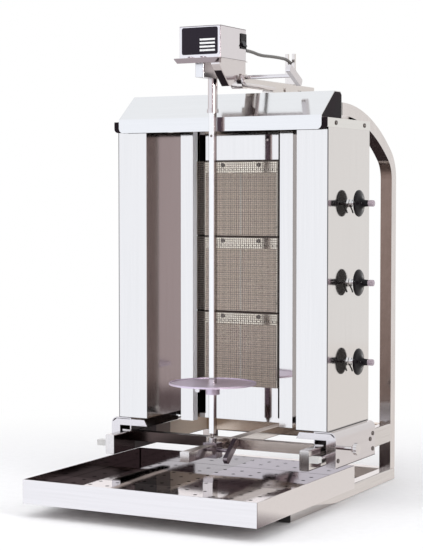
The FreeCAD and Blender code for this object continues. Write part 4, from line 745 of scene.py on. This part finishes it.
# Each step outward along the knob, with the radius that it reaches.
knob_profile = (
    (0.0008, 0.0266), (0.0012, 0.0262), (0.0010, 0.0250), (0.0012, 0.0205), (0.0014, 0.0150),
    (0.0018, 0.0112), (0.0024, 0.0086), (0.0040, 0.0068), (0.0083, 0.0061), (0.0004, 0.0057),
    (0.0004, 0.0063), (0.0086, 0.0063), (0.0010, 0.0058), (0.0005, 0.0046),
)
tab_bends = ((0, 0.0045, -0.0045), (0, 0.0060, -0.0050), (0, 0.0035, -0.0050))
for number, knob_z in enumerate(knob_heights, 1):
    bpy.ops.object.select_all(action="DESELECT")
    bpy.ops.mesh.primitive_cylinder_add(
        vertices=48, radius=skirt_radius, depth=skirt_back,
        location=(skirt_back_x, spindle_y, knob_z), rotation=(0, math.pi / 2, 0))
    knob = bpy.context.object
    bpy.ops.object.transform_apply(location=True, rotation=True)
    select_faces(knob, Vector((1, 0, 0)))
    radius = skirt_radius
    for step, wanted in knob_profile:
        bpy.ops.mesh.extrude_region_move(TRANSFORM_OT_translate={"value": (step, 0, 0)})
        scale = wanted / radius
        bpy.ops.transform.resize(
            value=(1, scale, scale), center_override=(0, spindle_y, knob_z))
        radius = wanted
    bpy.ops.object.mode_set(mode="OBJECT")
    bpy.ops.object.shade_smooth_by_angle(angle=math.radians(40))
    knob.name = "knob_%d_moulding" % number
    knob.data.materials.append(knob_black)
    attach(knob, "knob_%d" % number)
    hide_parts("knob_%d" % number)

    bpy.ops.object.select_all(action="DESELECT")
    bpy.ops.mesh.primitive_cylinder_add(
        vertices=6, radius=nut_radius, depth=nut_thick, location=(nut_x, spindle_y, knob_z),
        rotation=(0, math.pi / 2, 0))
    nut = bpy.context.object
    bpy.ops.object.transform_apply(location=True, rotation=True)
    soften(nut_bevel)
    nut.name = "spindle_nut_%d" % number
    nut.data.materials.append(chrome)
    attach(nut, "frame_and_cabinet")

    bpy.ops.object.select_all(action="DESELECT")
    bpy.ops.mesh.primitive_cube_add(size=1, location=(tab_x, tab_y, knob_z - tab_drop))
    tab = bpy.context.object
    bpy.ops.transform.resize(value=tab_size)
    bpy.ops.object.transform_apply(location=True, scale=True)
    select_faces(tab, Vector((0, 0, -1)))
    for bend in tab_bends:
        bpy.ops.mesh.extrude_region_move(TRANSFORM_OT_translate={"value": bend})
    bpy.ops.object.mode_set(mode="OBJECT")
    tab.name = "index_tab_%d" % number
    tab.data.materials.append(knob_black)
    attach(tab, "frame_and_cabinet")

# Side brackets
# Folded sheet brackets that hang the cabinet on the rails, each with a guide rod in a white
# plastic block, and a lobed hand screw in a nut welded into the right one.
bar_along_y = (300, 8, 300)
satin = stainless("bracket_sheet", (0.60, 0.56, 0.56), 0.13, bar_along_y, 0.05, 0.02)
bracket_steel = stainless("side_bracket_sheet", (0.58, 0.54, 0.54), 0.13, bar_along_y, 0.05, 0.02)
# The brackets are painted dark inside and along the lower edge, and the hand screw under its
# shank: painted shade.
tint_and_shade_patch(bracket_steel, (0.2, 0.1375, 0.0), (0.2503, 0.4, 0.1400), (0.02, 0.015, 0.016))
tint_and_shade_patch(bracket_steel, (0.2, 0.1375, 0.0795), (0.26, 0.4, 0.0815), (0.03, 0.02, 0.02))
finish(["side_brackets"], bracket_steel)
finish(["guide_rods"], satin)
screw_steel = stainless("hand_screw_steel", (0.62, 0.58, 0.57), 0.22, (120, 120, 120), 0.1, 0.05)
tint_and_shade_patch(screw_steel, (0.2515, 0.156, 0.112), (0.2795, 0.167, 0.1175), (0.10, 0.07, 0.07),
      mirrored=False)
finish(["hand_screw"], screw_steel)
finish(["guide_blocks"], rubber("white_block_plastic", (0.75, 0.74, 0.72), 0.3, 0.45))

# Drip tray
# A deep tray folded from mirror-polished sheet, with a loose perforated plate in it. The plate is
# a little wavy, which breaks up what it mirrors.
tray_steel = stainless("tray_sheet", (0.64, 0.60, 0.59), 0.07, sheet_along_x, 0.04, 0.008)
plate_steel = stainless("tray_plate_sheet", (0.63, 0.58, 0.58), 0.05, sheet_along_y, 0.05)
nodes = plate_steel.node_tree.nodes
links = plate_steel.node_tree.links
waves = grain(nodes, links, 5, (1, 0.6, 1), 1.0)
relief(nodes, links, nodes["Principled BSDF"], waves, 0.5, 0.006)
# The tray's side walls are painted dark within, and the plate darker, more so on the left:
# painted reflections of shade.
tint_and_shade_patch(tray_steel, (0.2435, -0.1930, 0.03), (0.24655, 0.24, 0.0704), (0.06, 0.042, 0.044))
finish(["tray"], tray_steel)
tint_and_shade_patch(plate_steel, (-0.02, 0.05, 0.02), (0.245, 0.24, 0.06), (0.30, 0.25, 0.28), mirrored=False)
tint_and_shade_patch(plate_steel, (-0.245, -0.02, 0.02), (-0.02, 0.24, 0.06), (0.19, 0.155, 0.155),
      mirrored=False)
finish(["tray_plate"], plate_steel)

# Spit, disc and saddle
# A square stainless spit that stands on its point in a cup on the saddle, with a turned disc. Its
# rear faces are painted dark, a painted reflection of the cabinet.
bar_upright = (300, 300, 8)
spit_steel = stainless("spit_steel", (0.70, 0.67, 0.65), 0.10, bar_upright, 0.04)
spit_rear_corner = (0.007, 0.1130, 0.81)
tint_and_shade_patch(spit_steel, (0.0, 0.1114, 0.1), spit_rear_corner, (0.13, 0.09, 0.11))
tint_and_shade_patch(spit_steel, (0.005, 0.1075, 0.1), spit_rear_corner, (0.22, 0.17, 0.17))
finish(["spit"], spit_steel)
disc_steel = stainless("disc_steel", (0.66, 0.57, 0.66), 0.55, (60, 60, 60), 0.06, 0.02)
finish(["disc"], disc_steel)
finish(["disc_screw", "bearing_cup"], satin)
dark_steel = stainless("saddle_steel", (0.30, 0.26, 0.28), 0.24, cast_grain, 0.1, 0.03)
finish(["saddle", "lower_clamp"], dark_steel)
finish(["upper_clamp"], satin)

# Drive tube
# A polished tube below the gear block, square inside, with a collar at its mouth.
drive_steel = stainless("drive_tube_steel", (0.56, 0.51, 0.50), 0.10, bar_upright, 0.05)
# Its rear face is painted dark, a painted reflection of the cabinet.
tint_and_shade_patch(drive_steel, (0.0, 0.1085, 0.76), (0.012, 0.12, 0.85), (0.13, 0.09, 0.11))
finish(["drive_tube"], drive_steel)

# Motor bracket, gear block and housing
# A folded shelf with a hollow cheek, a cast gear block below it and a sheet cover over the motor.
# The cheek's inside and the shelf's lip are painted dark as painted shade, and thin painted shade
# lines mark the cover's foot, lid and front corner.
finish(["gear_block"],
       stainless("gear_block_cast", (0.64, 0.62, 0.62), 0.25, (60, 60, 60), 0.05, 0.03))
shelf = stainless("shelf_sheet", (0.60, 0.55, 0.54), 0.12, (8, 300, 300), 0.05, 0.01)
tint_and_shade_patch(shelf, (0.026, 0.03, 0.81), (0.0443, 0.12, 0.8460), (0.02, 0.014, 0.017), 0.3, mirrored=False)
tint_and_shade_patch(shelf, (0.0, 0.034, 0.86), (0.048, 0.0525, 0.8697), (0.26, 0.21, 0.21), 0.3)
finish(["motor_bracket"], shelf)
cover = stainless("housing_sheet", (0.64, 0.60, 0.61), 0.10, (260, 260, 6), 0.03, 0.01)
cover_half, cover_front, cover_rear = 0.046, 0.05, 0.17
cover_shade_line = (0.16, 0.13, 0.14)
tint_and_shade_patch(cover, (0.0, cover_front, 0.8695), (cover_half, cover_rear, 0.8712), (0.03, 0.025, 0.028))
tint_and_shade_patch(cover, (0.0, cover_front, 0.9312), (cover_half, cover_rear, 0.9330), cover_shade_line)
tint_and_shade_patch(cover, (0.0442, cover_front, 0.86), (cover_half, 0.0534, 0.94), cover_shade_line)
finish(["motor_housing"], cover)

# Shelf screws
# Two dark hexagon screws through the shelf's front, each with its nut below, hold the housing.
screw_y = 0.0468
screw_radius = 0.0040
screw_bevel = 0.0004
head_z, head_height = 0.8717, 0.0034
nut_z, nut_height = 0.8638, 0.0050
for side, screw_x in (("left", -0.0190), ("right", 0.0085)):
    pieces = []
    for part_z, height in ((head_z, head_height), (nut_z, nut_height)):
        bpy.ops.object.select_all(action="DESELECT")
        bpy.ops.mesh.primitive_cylinder_add(
            vertices=6, radius=screw_radius, depth=height, location=(screw_x, screw_y, part_z))
        pieces.append(bpy.context.object)
        bpy.ops.object.transform_apply(location=True)
        soften(screw_bevel)
    pieces[0].select_set(True)
    pieces[1].select_set(True)
    bpy.ops.object.join()
    shelf_screw = bpy.context.object
    shelf_screw.name = "shelf_screw_" + side
    shelf_screw.data.materials.append(dark_steel)
    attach(shelf_screw, "motor_arm")

# Label plate
# A black anodised plate on the housing's front, with four bare pale fields at its lower right.
label = coated(
    "label_black", 500, (0.009, 0.005, 0.011), (0.017, 0.011, 0.019), 0.3, 0.42, specular=0.15)
field_bottom = 0.8833
field_pitch = 0.0069
field_height = 0.0036
field_left = 0.0003
field_right = 0.0335
for row in range(4):
    field_low = field_bottom + field_pitch * row
    tint_and_shade_patch(label, (field_left, 0.05, field_low), (field_right, 0.053, field_low + field_height),
          (0.9, 0.9, 0.9), mirrored=False)
finish(["label_plate"], label)

# Rocker switch
# A black rocker in a moulded frame on the housing's right side.
finish(["rocker_frame", "rocker"], knob_black)

# Arm
# A slotted square tube in an open track on the cross tube, with the clamp block round its front
# end and a flat post for the cable.
finish(["arm_bar", "arm_track", "clamp_block", "cable_post"],
       stainless("arm_tube_steel", (0.62, 0.57, 0.54), 0.13, bar_along_y, 0.06, 0.02))
finish(["cable_glands"], rubber("grommet_rubber", (0.02, 0.02, 0.02)))

# Bent rod of the arm
# A round stainless rod welded to the arm's right side, which turns up in front of the clamp block.
bent_rod_x = 0.0537
bent_rod_radius = 0.0040
bend_centre = (bent_rod_x, 0.1450, 0.8404)
bend_steps = 8
bend_angle = math.radians(9.5)
bpy.ops.object.select_all(action="DESELECT")
bpy.ops.mesh.primitive_circle_add(
    vertices=20, radius=bent_rod_radius, fill_type="NGON", location=(bent_rod_x, 0.2720, 0.8228),
    rotation=(math.pi / 2, 0, 0))
bent_rod = bpy.context.object
bpy.ops.object.transform_apply(location=True, rotation=True)
bpy.ops.object.mode_set(mode="EDIT")
bpy.ops.mesh.select_all(action="SELECT")
bpy.ops.mesh.extrude_region_move(TRANSFORM_OT_translate={"value": (0, -0.1270, 0.0006)})
for _ in range(bend_steps):
    bpy.ops.mesh.extrude_region_move()
    bpy.ops.transform.rotate(value=bend_angle, orient_axis="X", center_override=bend_centre)
bpy.ops.mesh.extrude_region_move(TRANSFORM_OT_translate={"value": (0, -0.0010, 0.0050)})
bpy.ops.mesh.select_all(action="SELECT")
bpy.ops.mesh.normals_make_consistent(inside=False)
bpy.ops.object.mode_set(mode="OBJECT")
bpy.ops.object.shade_smooth_by_angle(angle=math.radians(50))
bent_rod.name = "arm_bent_rod"
bent_rod.data.materials.append(
    stainless("bent_rod_steel", (0.62, 0.57, 0.56), 0.14, bar_along_y, 0.05))
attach(bent_rod, "motor_arm")

# Screws
# Blackened slotted screws in the brackets, straps and headers, and the bolt of the arm's track.
finish(["screws"],
       stainless("blackened_screw", (0.16, 0.14, 0.13), 0.35, (300, 300, 300), 0.2, 0.05))
